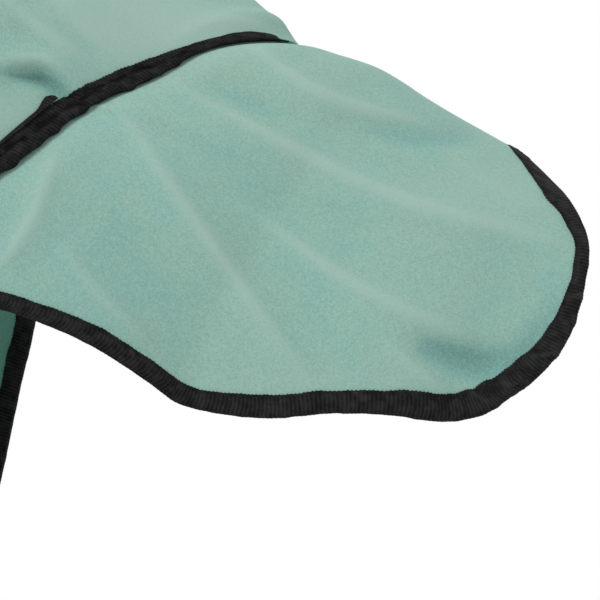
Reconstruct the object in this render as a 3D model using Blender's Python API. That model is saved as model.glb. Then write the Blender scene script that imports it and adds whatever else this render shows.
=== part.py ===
"""Fleece horse rug with a tail flap, worn shape, hollow, metres, +Z up.

The origin is on the underside of the rug in the middle of the back, where the
horse holds it up.  +X runs to the tail, the left (near) side is at -Y.
"""
import math

import bmesh
import bpy
import numpy as np

# ---- driving dimensions --------------------------------------------------
CLOTH = 0.0025            # fleece thickness
TAPE = 0.0010             # binding tape thickness
GAP = 0.0003              # between pieces that touch
TAPE_GAP = 0.0004         # between the binding tape and the cloth in it
BIND_WIDTH = 0.0150       # visible width of the folded binding
LAP_WIDTH = 0.032         # how far the flap reaches in under the body
ROOT_DEPTH = CLOTH + TAPE_GAP + TAPE + 0.0005   # from the body's middle surface to the flap's
RIDGE_DEPTH = CLOTH + GAP + 0.0002             # the same at the spine, where no tape is
ROOT_CLEAR = 0.003        # the flap turns this far behind the body's edge
WEB_WIDTH = 0.025         # chest strap webbing
WEB = 0.0022              # webbing thickness
TAPE_END_LEVELS = (0.245, 0.350)           # the spare tape end, parts of the left drop
TAPE_END_WIDTH = 0.0055   # how much of it shows beside the binding
DOCK = np.array([0.720, 0.0, -0.105])      # where the back edge crosses the spine

FLAP_LEVEL = 0.42         # the flap's hem meets the body's rear edge here (part of its drop)
FLAP_ACROSS = 10          # rows of cloth over the flap's root, a side
HANG_ACROSS = 7           # rows below it, down to the hem
BODY_ALONG = 20           # cells from the front to the rear
FLAP_ALONG = 13           # cells from the flap's root to its end
END_CROWDING = 0.10       # how much closer the cells lie at the front and the rear
FORM_ALONG = 161          # the body form's stored columns
FORM_ACROSS = 61          # and rows
CURVE_STEPS = 401         # steps along a curve from which even ones are read
SECTION_TURNS = (0, 14, 28, 42, 56, 70, 84)     # degrees round the back, spine to side
SECTION_SWEEP = 0.27      # how early a station swings from its spine place to its side place
FOLD_STEPS = 25           # steps along a fold's crest
FOLD_TAIL = 0.12          # how far a fold has already risen where it starts
FOLD_FADE = 0.70          # a fold keeps its height over its middle as this goes down
FOLD_ROOT = 0.30          # part of the flap over which its folds rise from the seam

# ---- the chest strap and its buckle --------------------------------------
# Places along the strap run from the middle of the chest to the left.
STRAP_LEVEL = 0.80        # height of the chest strap, part of the drop
CHEST_REACH = 0.12        # part of the body's length that the chest frame covers
CHEST_STEPS = 25
CHEST_RISE = 0.02         # part of the drop over which the strap's upward way is read
TANGENT_STEP = 0.004      # half the stretch over which the strap's direction is read
CHEST_LIFT = 0.0008       # the strap clears the front bindings by this
STRAP_START = -0.095      # sewn to the right front
STRAP_SEWN = 0.028        # over this length
STRAP_RISEN = 0.048       # and on the bindings' level from here
STRAP_UNDER = 0.004       # it stays on that level this far past the front bar
FRONT_BAR = 0.016         # the buckle's bar that the prong rests on
HEEL_BAR = 0.048          # the bar that the tab holds
TAB_END = 0.104           # the tab's end, sewn to the left front
TAB_SEWN = 0.008          # over this length
TAB_MEETS = 0.014         # the tab's two layers lie together from here past the heel bar
TAB_LOOP = 0.006          # and leave its loop here
TAB_EASE = 0.0012         # the upper layer has eased down this much there
TAB_EASE_UNDER = 0.0002   # and the lower one has risen this much
TAB_TURNS = 9             # steps round the heel bar
STRAP_END = 0.120         # the strap's free end
STRAP_TAIL = 0.024        # it lies flat on the tab from here past the heel bar
KEEPER_AT = 0.078
KEEPER_LONG = 0.012
KEEPER_CLEAR = 0.007      # stations on either side of the keeper's middle
KEEPER = 0.0008           # keeper thickness
BUCKLE_RUN = 0.006        # the strap is straight this far past the buckle's bars
STRAIGHT_FADE = 0.035     # and settles back onto the chest over this length
BUCKLE_ROUND = 0.003      # corner radius of the buckle
BUCKLE_SPARE = 0.0015     # room beside the webbing inside the buckle
BAR_RADIUS = 0.0020
BAR_HEIGHT = 0.0078       # the bars' centres above the cloth's middle surface
BAR_SIDES = 10
PRONG_RADIUS = 0.00125
PRONG_SIDES = 8
PRONG_HOOK = (-80, 90)    # degrees that the prong turns round the heel bar
PRONG_RUN = 0.006         # the prong runs straight from here ahead of the heel bar
PRONG_TIP = 0.003         # to this far past the front bar
SLOT = 0.0034             # width of the hole and slot that the prong passes
STRAP_HOLE = (-0.0178, -0.0022)     # the strap's hole, from the heel bar
STRAP_HOLE_DEPTH = (0.006, 0.020)   # heights between which it is cut
TAB_SLOT = (-0.006, 0.008)          # the tab's slot, from the heel bar
TAB_SLOT_DEPTH = (0.0, 0.020)

# The strap climbs between the bars, crosses the heel bar and falls to the tab.
STRAP_RISE = (
    # past_front_bar over_bindings
    (0.010, 0.0014),
    (0.016, 0.0040),
    (0.021, 0.0074),
)
STRAP_CREST = (
    # past_heel_bar under_crest
    (-0.007, 0.0009),
    (-0.004, 0.0),
    (0.003, 0.0),
)
STRAP_FALL = (
    # past_heel_bar over_tab
    (0.010, 0.0018),
    (0.016, 0.0),
)

# ---- the rug's form ------------------------------------------------------
# Up to the dock the rear binding runs out.
TAPE_RUN_OUT = (
    # drop  width_part
    (0.030, 0.12),
    (0.060, 0.42),
    (0.110, 0.60),
    (0.160, 1.00),
)

# Body stations from the withers to the croup.  spine: the ridge of the back;
# side: the widest place; low: half way down the hanging part; hem: the edge.
BODY_STATIONS = (
    # spine_x spine_z side_x side_y side_z  low_x  low_y  low_z  hem_x  hem_y  hem_z
    (-0.640, 0.052, -0.905, 0.160, -0.235, -1.105, 0.008, -0.500, -1.090, 0.008, -0.790),
    (-0.622, 0.053, -0.865, 0.180, -0.238, -1.090, 0.085, -0.505, -1.076, 0.085, -0.795),
    (-0.580, 0.051, -0.790, 0.207, -0.240, -1.012, 0.185, -0.512, -1.002, 0.185, -0.802),
    (-0.485, 0.040, -0.620, 0.245, -0.250, -0.845, 0.265, -0.522, -0.842, 0.270, -0.812),
    (-0.300, 0.010, -0.350, 0.275, -0.250, -0.450, 0.308, -0.530, -0.460, 0.316, -0.818),
    (-0.050, 0.001, -0.060, 0.292, -0.255, -0.080, 0.318, -0.530, -0.080, 0.326, -0.815),
    (0.200, 0.010, 0.170, 0.294, -0.255, 0.150, 0.315, -0.520, 0.150, 0.324, -0.808),
    (0.400, 0.018, 0.320, 0.290, -0.250, 0.275, 0.306, -0.500, 0.270, 0.318, -0.800),
    (0.560, -0.003, 0.410, 0.277, -0.270, 0.350, 0.292, -0.490, 0.340, 0.306, -0.795),
)
# The rear edge from the dock down one side, and the steps from it to a line
# ahead of it, over which the croup swells above the binding.
REAR_EDGE = (
    # aft     out    up     step_aft step_out step_up
    (0.000, 0.000, 0.0000, -0.034, 0.000, 0.0345),
    (-0.010, 0.025, 0.0045, -0.038, 0.002, 0.0290),
    (-0.033, 0.050, 0.0050, -0.038, 0.004, 0.0230),
    (-0.066, 0.080, -0.0030, -0.037, 0.007, 0.0190),
    (-0.098, 0.108, -0.0215, -0.035, 0.010, 0.0170),
    (-0.134, 0.140, -0.0390, -0.035, 0.013, 0.0150),
    (-0.175, 0.180, -0.0730, -0.037, 0.017, 0.0110),
    (-0.199, 0.200, -0.0930, -0.038, 0.016, 0.0080),
    (-0.213, 0.218, -0.1250, -0.038, 0.013, 0.0070),
    (-0.2175, 0.238, -0.1750, -0.038, 0.011, 0.0050),
    (-0.222, 0.248, -0.2120, -0.038, 0.010, 0.0040),
    (-0.234, 0.254, -0.2600, -0.038, 0.009, 0.0040),
    (-0.252, 0.258, -0.3390, -0.038, 0.009, 0.0040),
    (-0.279, 0.270, -0.4400, -0.039, 0.007, 0.0040),
    (-0.305, 0.287, -0.6830, -0.039, 0.005, 0.0020),
)
# The tail flap's ridge, from the dock back.
FLAP_RIDGE = (
    # aft    up
    (0.010, -0.0035),
    (0.030, -0.0080),
    (0.055, -0.0160),
    (0.070, -0.0245),
    (0.085, -0.0345),
    (0.105, -0.0465),
    (0.130, -0.0605),
    (0.147, -0.0700),
)
# The flap's end from the ridge down to its lowest corner, then its hem forward.
FLAP_END = (
    # aft    out     up
    (0.1470, 0.000, -0.0700),
    (0.1530, 0.020, -0.0750),
    (0.1685, 0.045, -0.0900),
    (0.1835, 0.070, -0.1070),
    (0.1935, 0.096, -0.1325),
    (0.1890, 0.118, -0.1610),
    (0.1790, 0.138, -0.1890),
    (0.1655, 0.150, -0.2070),
    (0.1545, 0.157, -0.2160),
)
FLAP_HEM = (
    # aft    out     up
    (0.1545, 0.157, -0.2160),
    (0.1200, 0.174, -0.2375),
    (0.1010, 0.180, -0.2405),
    (0.0630, 0.189, -0.2355),
    (0.0340, 0.194, -0.2337),
    (-0.0230, 0.203, -0.2360),
    (-0.0510, 0.206, -0.2320),
    (-0.0700, 0.208, -0.2270),
    (-0.0885, 0.211, -0.2135),
    (-0.1260, 0.216, -0.1890),
    (-0.1605, 0.221, -0.1732),
    (-0.1820, 0.224, -0.1662),
)
# The largest soft folds of the flap, seen from the side: start, middle, end,
# half width and height.
FLAP_FOLDS = (
    # from_x from_z  mid_x  mid_z   to_x   to_z   width   height
    (-0.105, -0.032, 0.010, -0.082, 0.185, -0.140, 0.016, 0.0050),
    (-0.120, -0.045, -0.060, -0.120, -0.005, -0.205, 0.018, 0.0050),
    (-0.040, -0.085, 0.030, -0.150, 0.100, -0.180, 0.017, 0.0045),
    (-0.020, -0.022, 0.030, -0.040, 0.075, -0.052, 0.013, 0.0035),
    (-0.165, -0.150, -0.140, -0.120, -0.135, -0.080, 0.015, 0.0040),
    (-0.150, -0.135, -0.115, -0.170, -0.090, -0.180, 0.013, 0.0035),
    (0.085, -0.195, 0.120, -0.202, 0.150, -0.180, 0.018, -0.0060),
)
FLEECE_GREEN = (0.275, 0.455, 0.383, 1.0)
TAPE_BLACK = (0.018, 0.018, 0.019, 1.0)
STEEL_GREY = (0.55, 0.56, 0.57, 1.0)


# ---- curves and surfaces -------------------------------------------------
def unit(vectors):
    """Vectors, one or many, scaled to length one."""
    length = np.linalg.norm(vectors, axis=-1, keepdims=True)
    return vectors / np.maximum(length, 1e-12)


def smooth_line(points, where):
    """A smooth curve through points, read at parts of its length."""
    points = np.asarray(points, float)
    knots = np.concatenate([[0.0], np.cumsum(np.linalg.norm(np.diff(points, axis=0), axis=1))])
    knots /= knots[-1]
    slopes = np.gradient(points, knots, axis=0)
    where = np.clip(np.atleast_1d(where), 0.0, 1.0)
    cell = np.clip(np.searchsorted(knots, where) - 1, 0, len(knots) - 2)
    span = (knots[cell + 1] - knots[cell])[:, None]
    t = ((where - knots[cell]) / span[:, 0])[:, None]
    a, b = points[cell], points[cell + 1]
    ma, mb = slopes[cell] * span, slopes[cell + 1] * span
    return ((2 * t**3 - 3 * t**2 + 1) * a + (t**3 - 2 * t**2 + t) * ma
            + (3 * t**2 - 2 * t**3) * b + (t**3 - t**2) * mb)


def even_line(points, where):
    """The same curve, read at equal steps of true length."""
    fine = smooth_line(points, np.linspace(0, 1, CURVE_STEPS))
    lengths = np.concatenate([[0.0], np.cumsum(np.linalg.norm(np.diff(fine, axis=0), axis=1))])
    lengths /= lengths[-1]
    where = np.clip(np.atleast_1d(where), 0.0, 1.0)
    return np.stack([np.interp(where, lengths, fine[:, axis]) for axis in range(3)], axis=-1)


def half_section(row, across):
    """One station of the body from the spine to the hem at the given parts."""
    spine_x, spine_z, side_x, side_y, side_z, low_x, low_y, low_z, hem_x, hem_y, hem_z = row
    points = []
    for turn in np.radians(SECTION_TURNS):
        sweep = math.sin(turn) * (1.0 + SECTION_SWEEP * math.cos(turn))
        points.append((spine_x + (side_x - spine_x) * sweep,
                       side_y * math.sin(turn),
                       spine_z + (side_z - spine_z) * (1.0 - math.cos(turn))))
    points.append((low_x, low_y, low_z))
    points.append((0.5 * (low_x + hem_x), 0.5 * (low_y + hem_y), 0.5 * (low_z + hem_z)))
    points.append((hem_x, hem_y, hem_z))
    return even_line(points, across)


def body_stations(across):
    """Every station of the left half at the given parts of its drop."""
    stations = [half_section(row, across) for row in BODY_STATIONS]
    rear = np.array(REAR_EDGE)
    stations.append(DOCK + even_line(rear[:, 0:3] + rear[:, 3:6], across))
    stations.append(DOCK + even_line(rear[:, 0:3], across))
    return np.array(stations)


class BodyForm:
    """The left half of the body as a surface over (along, across), 0 to 1."""

    def __init__(self):
        self.across = np.linspace(0, 1, FORM_ACROSS)
        stations = body_stations(self.across)
        self.along = np.linspace(0, 1, FORM_ALONG)
        self.grid = np.stack([smooth_line(stations[:, j], self.along)
                              for j in range(len(self.across))], axis=1)
        steps = np.linalg.norm(np.diff(self.grid, axis=0), axis=2)
        self.length = np.vstack([np.zeros(len(self.across)), np.cumsum(steps, axis=0)])
        drops = np.linalg.norm(np.diff(self.grid, axis=1), axis=2)
        self.drop = drops.sum(axis=1)

    def at(self, along, across):
        """Points at parts of the length and drop (arrays of one shape)."""
        along = np.clip(along, 0, 1) * (len(self.along) - 1)
        across = np.clip(across, 0, 1) * (len(self.across) - 1)
        i = np.minimum(along.astype(int), len(self.along) - 2)
        j = np.minimum(across.astype(int), len(self.across) - 2)
        s, t = (along - i)[..., None], (across - j)[..., None]
        g = self.grid
        return ((1 - s) * (1 - t) * g[i, j] + s * (1 - t) * g[i + 1, j]
                + (1 - s) * t * g[i, j + 1] + s * t * g[i + 1, j + 1])

    def columns(self, across):
        """The nearest stored column of each part of the drop."""
        return [int(round(part * (len(self.across) - 1))) for part in np.atleast_1d(across)]

    def along_of(self, reaches, across):
        """Parts of the length that lie at these distances from the front edge."""
        return np.array([np.interp(reach, self.length[:, j], self.along)
                         for reach, j in zip(reaches, self.columns(across))])

    def inward_of_rear(self, distance, across):
        """The part of the length that lies this far ahead of the rear edge."""
        return self.along_of([self.length[-1, j] - distance for j in self.columns(across)], across)

    def inward_of_front(self, distance, across):
        """The part of the length that lies this far behind the front edge."""
        return self.along_of([distance for _ in self.columns(across)], across)


def side_fold(points, folds):
    """How far soft folds raise a surface at points, seen from the side."""
    rise = np.zeros(points.shape[:-1])
    for from_x, from_z, mid_x, mid_z, to_x, to_z, width, height in folds:
        places = [(from_x, from_z), (mid_x, mid_z), (to_x, to_z)]
        crest = smooth_line(places, np.linspace(0, 1, FOLD_STEPS))
        gap = np.linalg.norm(points[..., None, :][..., [0, 2]] - DOCK[[0, 2]] - crest, axis=-1)
        near = gap.argmin(axis=-1) / (FOLD_STEPS - 1)
        fade = np.sin(np.pi * (FOLD_TAIL + (1 - 2 * FOLD_TAIL) * near)) ** FOLD_FADE
        rise += height * fade * np.exp(-(gap.min(axis=-1) / width) ** 2)
    return rise


# ---- meshes --------------------------------------------------------------
class Sheet:
    """An open quad mesh of a cloth's middle surface, with a bound outer ring."""

    def __init__(self):
        self.points = []
        self.faces = []
        self.spine = set()

    def add(self, point):
        self.points.append(np.array(point, float))
        return len(self.points) - 1

    def normals(self):
        points = np.array(self.points)
        total = np.zeros_like(points)
        for a, b, c, d in self.faces:
            push = np.cross(points[c] - points[a], points[d] - points[b])
            for corner in (a, b, c, d):
                total[corner] += push
        for corner in self.spine:
            total[corner, 1] = 0.0
        return unit(total)


def mesh_object(name, points, faces, material, smooth=False):
    """An object from points and faces, triangulated, faces pointing out."""
    mesh = bpy.data.meshes.new(name)
    mesh.from_pydata([tuple(p) for p in points], [], [tuple(f) for f in faces])
    work = bmesh.new()
    work.from_mesh(mesh)
    bmesh.ops.recalc_face_normals(work, faces=work.faces)
    work.to_mesh(mesh)
    work.free()
    mesh.materials.append(material)
    if smooth:
        mesh.shade_smooth()
    thing = bpy.data.objects.new(name, mesh)
    bpy.context.scene.collection.objects.link(thing)
    return thing


def split_quad(a, b, c, d):
    """A quad as two triangles, always on the same diagonal."""
    return [(a, b, c), (a, c, d)]


def thicken(name, sheet, thickness, material):
    """A closed wall of even thickness on both sides of a sheet."""
    points = np.array(sheet.points)
    normals = sheet.normals()
    count = len(points)
    walls = np.vstack([points + normals * thickness / 2, points - normals * thickness / 2])
    faces = []
    edges = {}
    for quad in sheet.faces:
        for triangle in split_quad(*quad):
            faces.append(triangle)
            faces.append(tuple(corner + count for corner in reversed(triangle)))
        for k in range(4):
            a, b = quad[k], quad[(k + 1) % 4]
            edges[(a, b)] = edges.get((a, b), 0) + 1
    for a, b in edges:
        if (b, a) not in edges:
            faces.extend(split_quad(b, a, a + count, b + count) if a < b
                         else split_quad(a, a + count, b + count, b))
    return mesh_object(name, walls, faces, material, smooth=True)


def binding_solid(name, sheet, ring, material, widths=None):
    """Tape folded over the edge of a sheet: a channel along (outer, inner) pairs."""
    widths = np.ones(len(ring)) if widths is None else widths
    points = np.array(sheet.points)
    normals = sheet.normals()
    inside = CLOTH / 2 + TAPE_GAP
    outside = inside + TAPE
    rows = []
    for (outer, inner), width in zip(ring, widths):
        rim = points[outer]
        root = rim + (points[inner] - rim) * width
        out = unit(rim - root)
        up = normals[outer]
        low = unit(up + (normals[inner] - up) * width)
        rows.append([root + low * outside,
                     rim + out * (TAPE_GAP + TAPE) + up * outside,
                     rim + out * (TAPE_GAP + TAPE) - up * outside,
                     root - low * outside,
                     root - low * inside,
                     rim + out * TAPE_GAP - up * inside,
                     rim + out * TAPE_GAP + up * inside,
                     root + low * inside])
    return swept(name, rows, ((0, 1, 6, 7), (1, 2, 5, 6), (2, 3, 4, 5)), material)


def swept(name, rows, cap, material):
    """A closed solid through equal sections, with its ends capped by quads."""
    size = len(rows[0])
    points = np.vstack(rows)
    faces = []
    for i in range(len(rows) - 1):
        for k in range(size):
            a, b = i * size + k, i * size + (k + 1) % size
            turned = k % 4 == 0
            faces.extend(split_quad(b, b + size, a + size, a) if turned
                         else split_quad(a, b, b + size, a + size))
    last = (len(rows) - 1) * size
    for quad in cap:
        faces.extend(split_quad(*reversed(quad)))
        faces.extend(split_quad(*(last + k for k in quad)))
    return mesh_object(name, points, faces, material, smooth=False)


def material(name, colour, roughness, metallic=0.0):
    """A plain Principled material."""
    made = bpy.data.materials.new(name)
    made.use_nodes = True
    shader = made.node_tree.nodes["Principled BSDF"]
    shader.inputs["Base Color"].default_value = colour
    shader.inputs["Roughness"].default_value = roughness
    shader.inputs["Metallic"].default_value = metallic
    made.diffuse_color = colour
    return made


# ---- the rug's pieces ----------------------------------------------------
def end_crowded(count):
    """Steps from 0 to 1 that lie closer at both ends."""
    even = np.linspace(0, 1, count)
    return even - END_CROWDING * np.sin(2 * np.pi * even)


def body_levels(form):
    """Parts of the drop where the body has a row, the flap's hem among them."""
    flap_inner = FLAP_LEVEL - BIND_WIDTH / form.drop[-1]
    upper = [0.0] + list(np.linspace(TAPE_RUN_OUT[0][0], flap_inner, FLAP_ACROSS))
    lower = list(np.linspace(FLAP_LEVEL, 1.0, HANG_ACROSS))
    return np.array(upper + lower)


def body_sheet(form, side):
    """One half of the body: an inner grid and a ring the binding's width."""
    levels = body_levels(form)
    inner_levels = levels.copy()
    inner_levels[-1] = 1 - BIND_WIDTH / form.drop.mean()
    sheet = Sheet()
    flip = np.array([1.0, side, 1.0])
    shift = np.array([0.0, side * GAP / 2, 0.0])
    front = form.inward_of_front(BIND_WIDTH, levels)
    rear = form.inward_of_rear(BIND_WIDTH, levels)
    lap = form.inward_of_rear(LAP_WIDTH, levels)
    steps = end_crowded(BODY_ALONG - 1)
    grid = []
    for j, level in enumerate(inner_levels):
        parts = np.concatenate([front[j] + (lap[j] - front[j]) * steps, [rear[j]]])
        row = form.at(parts, np.full(len(parts), level))
        grid.append([sheet.add(p * flip + shift) for p in row])
    grid = np.array(grid).T
    sheet.grid = grid
    columns, rows = grid.shape
    for i in range(columns - 1):
        for j in range(rows - 1):
            add_quad(sheet, grid[i, j], grid[i + 1, j], grid[i + 1, j + 1], grid[i, j + 1], side)
    ring = []
    path = [(0, j) for j in range(rows)] + [(i, rows - 1) for i in range(1, columns)]
    path += [(columns - 1, j) for j in range(rows - 2, -1, -1)]
    for i, j in path:
        if i == 0:
            along, across = 0.0, levels[j]
        elif i == columns - 1:
            along, across = 1.0, levels[j]
        else:
            along, across = front[j] + (lap[j] - front[j]) * steps[i], 1.0
        edge = form.at(np.array([along]), np.array([across]))[0]
        ring.append((sheet.add(edge * flip + shift), grid[i, j]))
    for (outer_a, inner_a), (outer_b, inner_b) in zip(ring, ring[1:]):
        add_quad(sheet, outer_a, inner_a, inner_b, outer_b, side)
    sheet.ring = ring
    sheet.spine = set(grid[:, 0]) | {ring[0][0], ring[-1][0]}
    return sheet


def add_quad(sheet, a, b, c, d, side):
    """One quad of a half, turned so that it faces out on either side."""
    quad = (a, b, c, d) if side > 0 else (a, d, c, b)
    sheet.faces.append(quad)


def coons(root, end, ridge, hem, a, b):
    """A surface filled in between four border curves, level across the ridge."""
    g1, f1 = a[:, None, None], (3 * b**2 - 2 * b**3)[None, :, None]
    g0, f0 = 1 - g1, 1 - f1
    corners = (g0 * f0 * ridge[0] + g1 * f0 * ridge[-1] + g0 * f1 * hem[0] + g1 * f1 * hem[-1])
    return (g0 * root[None] + g1 * end[None] + f0 * ridge[:, None] + f1 * hem[:, None] - corners)


def flap_root(sheet):
    """Where the flap lies under the body: rows of points, ahead to behind."""
    points, normals = np.array(sheet.points), sheet.normals()
    outer = {inner: rim for rim, inner in sheet.ring[-sheet.grid.shape[1]:]}
    rows = []
    for j in range(FLAP_ACROSS + 2):
        lap, near = sheet.grid[-2, j], sheet.grid[-1, j]
        edge = outer[near]
        depth = ROOT_DEPTH if j > 0 else RIDGE_DEPTH
        row = [points[k] - normals[k] * depth for k in (lap, near, edge)]
        row.append(row[-1] + unit(points[edge] - points[near]) * ROOT_CLEAR)
        rows.append(row)
    return np.array(rows)


def inset(line, reference):
    """A border curve moved in by the binding's width, toward a second curve."""
    along = unit(np.gradient(line, axis=0))
    inward = reference - line
    inward -= along * (inward * along).sum(axis=1, keepdims=True)
    inward[-1] = unit(inward[-2]) - along[-1] * unit(inward[-2]).dot(along[-1])
    return line + unit(inward) * BIND_WIDTH


def flap_half(root_rows):
    """The flap's middle surface on the left: grid of inner points and both rims."""
    count = FLAP_ACROSS + 1
    root = root_rows[:, 3]
    reach = np.concatenate([[0], np.cumsum(np.linalg.norm(np.diff(root, axis=0), axis=1))])
    across = reach / reach[-1]
    along = np.linspace(0, 1, FLAP_ALONG + 1)
    ridge = np.array([[x, 0.0, z] for x, z in FLAP_RIDGE]) + DOCK
    end = np.array(FLAP_END) + DOCK
    hem = np.array(FLAP_HEM)[::-1] + DOCK
    ridge = even_line(np.vstack([root[0], ridge]), along)
    hem = even_line(np.vstack([root[-1], hem]), along)
    end = even_line(end, across)
    rough = coons(root, end, ridge, hem, along, across)
    rim_in = inset(end, rough[-2])
    hem_in = inset(hem, rough[:, -2])
    inner_part = across[:count] / across[count - 1]
    corner = 0.5 * (rim_in[-1] + hem_in[-1])
    rim_line = even_line(np.vstack([rim_in[:-1], corner]), inner_part)
    hem_line = even_line(np.vstack([root[count - 1], hem_in[1:-1], corner]), along)
    ridge_line = even_line(np.vstack([ridge[:-1], rim_line[0]]), along)
    inner = coons(root[:count], rim_line, ridge_line, hem_line, along, inner_part)
    inner = folded(inner, along)
    end_rim = even_line(np.array(FLAP_END) + DOCK, inner_part)
    return inner, end_rim, hem


def folded(grid, along):
    """The flap's grid with its soft folds, none at the root seam or the ridge."""
    out = unit(np.cross(np.gradient(grid, axis=0), np.gradient(grid, axis=1)))
    out *= np.sign(out[..., 2:])
    rooted = np.clip(along / FOLD_ROOT, 0, 1)[:, None]
    sides = np.clip(np.arange(grid.shape[1]) / 2, 0, 1)[None]
    rise = side_fold(grid, FLAP_FOLDS) * rooted * sides
    return grid + out * rise[..., None]


def flap_sheet(body):
    """The tail flap, one piece over both sides, rooted under the body's edge."""
    root_rows = flap_root(body)
    inner, end_rim, hem = flap_half(root_rows)
    count = FLAP_ACROSS + 1
    sheet = Sheet()
    sheet.ring = []
    ridge = None
    for sign in (-1, 1):
        lap = root_rows[:count, :3].transpose(1, 0, 2)
        grid_points = np.concatenate([lap, inner], axis=0)
        rows = []
        for row in grid_points:
            rows.append([sheet.add(p * (1, sign, 1)) for p in row])
        grid = np.array(rows)
        if ridge is None:
            ridge = grid[:, 0].copy()
        grid[:, 0] = ridge
        columns = len(grid)
        for i in range(columns - 1):
            for j in range(count - 1):
                add_quad(sheet, grid[i, j], grid[i + 1, j], grid[i + 1, j + 1], grid[i, j + 1], sign)
        ring = []
        for i in range(columns - 1):
            edge = root_rows[-1, i] if i < 3 else hem[i - 3]
            ring.append((sheet.add(edge * (1, sign, 1)), grid[i, -1]))
        for j in range(count - 1, 0 if sign > 0 else -1, -1):
            ring.append((sheet.add(end_rim[j] * (1, sign, 1)), grid[-1, j]))
        sheet.ring += ring if sign < 0 else ring[::-1]
    for (outer_a, inner_a), (outer_b, inner_b) in zip(sheet.ring, sheet.ring[1:]):
        add_quad(sheet, outer_a, inner_a, inner_b, outer_b, -1)
    sheet.spine = set(ridge) | {sheet.ring[len(sheet.ring) // 2][0]}
    return sheet


def run_out(levels):
    """Part of the full width that the rear binding has at each level."""
    at, part = zip(*TAPE_RUN_OUT)
    return np.interp(levels, at, part)


def tape_end(body, levels):
    """The end of a second length of tape, laid beside the left rear binding."""
    points, normals = np.array(body.points), body.normals()
    rows = []
    start, end = TAPE_END_LEVELS
    for level in [start] + [level for level in levels if start + 0.005 < level < end] + [end]:
        j = int(np.searchsorted(levels, level)) - 1
        t = (level - levels[j]) / (levels[j + 1] - levels[j])
        near, far = ((1 - t) * points[body.grid[c, j]] + t * points[body.grid[c, j + 1]] for c in (-1, -2))
        up = unit((1 - t) * normals[body.grid[-1, j]] + t * normals[body.grid[-1, j + 1]])
        ahead = unit(far - near)
        low, high = CLOTH / 2 + GAP, CLOTH / 2 + GAP + TAPE
        rows.append([near + ahead * reach + up * lift
                     for reach, lift in ((GAP, low), (TAPE_END_WIDTH, low),
                                         (TAPE_END_WIDTH, high), (GAP, high))])
    return rows


class ChestFrame:
    """Places round the chest: s along the strap to the left, w up, n out."""

    def __init__(self, form):
        reaches = np.linspace(0.0, CHEST_REACH, CHEST_STEPS)
        half = form.at(reaches, np.full(CHEST_STEPS, STRAP_LEVEL))
        above = form.at(reaches, np.full(CHEST_STEPS, STRAP_LEVEL - CHEST_RISE))
        self.path = np.vstack([half[::-1], half * (1, -1, 1)])
        step = np.linalg.norm(np.diff(self.path, axis=0), axis=1)
        reach = np.concatenate([[0], np.cumsum(step)])
        self.reach = reach - reach[-1] / 2
        self.up = unit((above - half).mean(axis=0) * (1, 0, 1))

    def centre(self, s):
        return np.array([np.interp(s, self.reach, self.path[:, k]) for k in range(3)])

    def axes(self, s):
        along = unit(self.centre(s + TANGENT_STEP) - self.centre(s - TANGENT_STEP))
        return along, unit(np.cross(along, self.up))

    def at(self, s, w, n):
        """A place; between the buckle's bars the frame is straight."""
        middle = (HEEL_BAR + FRONT_BAR) / 2
        flat = np.clip(s, FRONT_BAR - BUCKLE_RUN, HEEL_BAR + BUCKLE_RUN)
        along, out = self.axes(middle)
        if s == flat:
            return self.centre(middle) + along * (s - middle) + self.up * w + out * n
        tangent = self.centre(middle) + along * (flat - middle)
        drop = np.dot(tangent - self.centre(flat), out)
        fade = max(0.0, 1.0 - abs(s - flat) / STRAIGHT_FADE)
        out = self.axes(s)[1]
        return self.centre(s) + self.up * w + out * (n + drop * fade)


def webbing(name, frame, path, width, thickness, material):
    """A flat webbing strap along (s, n) places of the chest frame."""
    path = np.array(path)
    run = unit(np.gradient(path, axis=0))
    rows = []
    for (s, n), (run_s, run_n) in zip(path, run):
        row = []
        for w, side in ((-1, -1), (1, -1), (1, 1), (-1, 1)):
            offset = side * thickness / 2
            row.append(frame.at(s - run_n * offset, w * width / 2, n + run_s * offset))
        rows.append(row)
    return swept(name, rows, ((0, 1, 2, 3),), material)


def rod(name, centres, radius, sides, material, closed=False):
    """A round rod along centres, open with flat ends or closed into a ring."""
    centres = np.array(centres)
    ahead, behind = np.roll(centres, -1, axis=0), np.roll(centres, 1, axis=0)
    if not closed:
        ahead[-1], behind[0] = centres[-1], centres[0]
    run = unit(ahead - behind)
    flat = unit(np.cross(centres[1] - centres[0], centres[len(centres) // 2] - centres[0]))
    points, faces = [], []
    for centre, along in zip(centres, run):
        across = unit(np.cross(flat, along))
        for k in range(sides):
            turn = 2 * math.pi * k / sides
            points.append(centre + radius * (math.cos(turn) * flat + math.sin(turn) * across))
    count = len(centres)
    for i in range(count if closed else count - 1):
        for k in range(sides):
            a, b = i * sides + k, i * sides + (k + 1) % sides
            c, d = (b + sides) % (count * sides), (a + sides) % (count * sides)
            faces.append((a, b, c, d))
    if not closed:
        faces.append(tuple(range(sides))[::-1])
        faces.append(tuple((count - 1) * sides + k for k in range(sides)))
    return mesh_object(name, points, faces, material, smooth=True)


def cut(thing, name, corners):
    """Cut a box with these eight corners out of a thing."""
    faces = ((0, 1, 3, 2), (4, 6, 7, 5), (0, 4, 5, 1), (2, 3, 7, 6), (0, 2, 6, 4), (1, 5, 7, 3))
    cutter = mesh_object(name, corners, faces, thing.data.materials[0])
    cutter.hide_render = True
    cutter.display_type = "WIRE"
    modifier = thing.modifiers.new("slot", "BOOLEAN")
    modifier.object = cutter
    modifier.operation = "DIFFERENCE"
    modifier.solver = "EXACT"


def box_corners(frame, s_range, w_range, n_range):
    """The eight corners of a box in the chest frame."""
    return [frame.at(s, w, n) for s in s_range for w in w_range for n in n_range]


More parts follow.
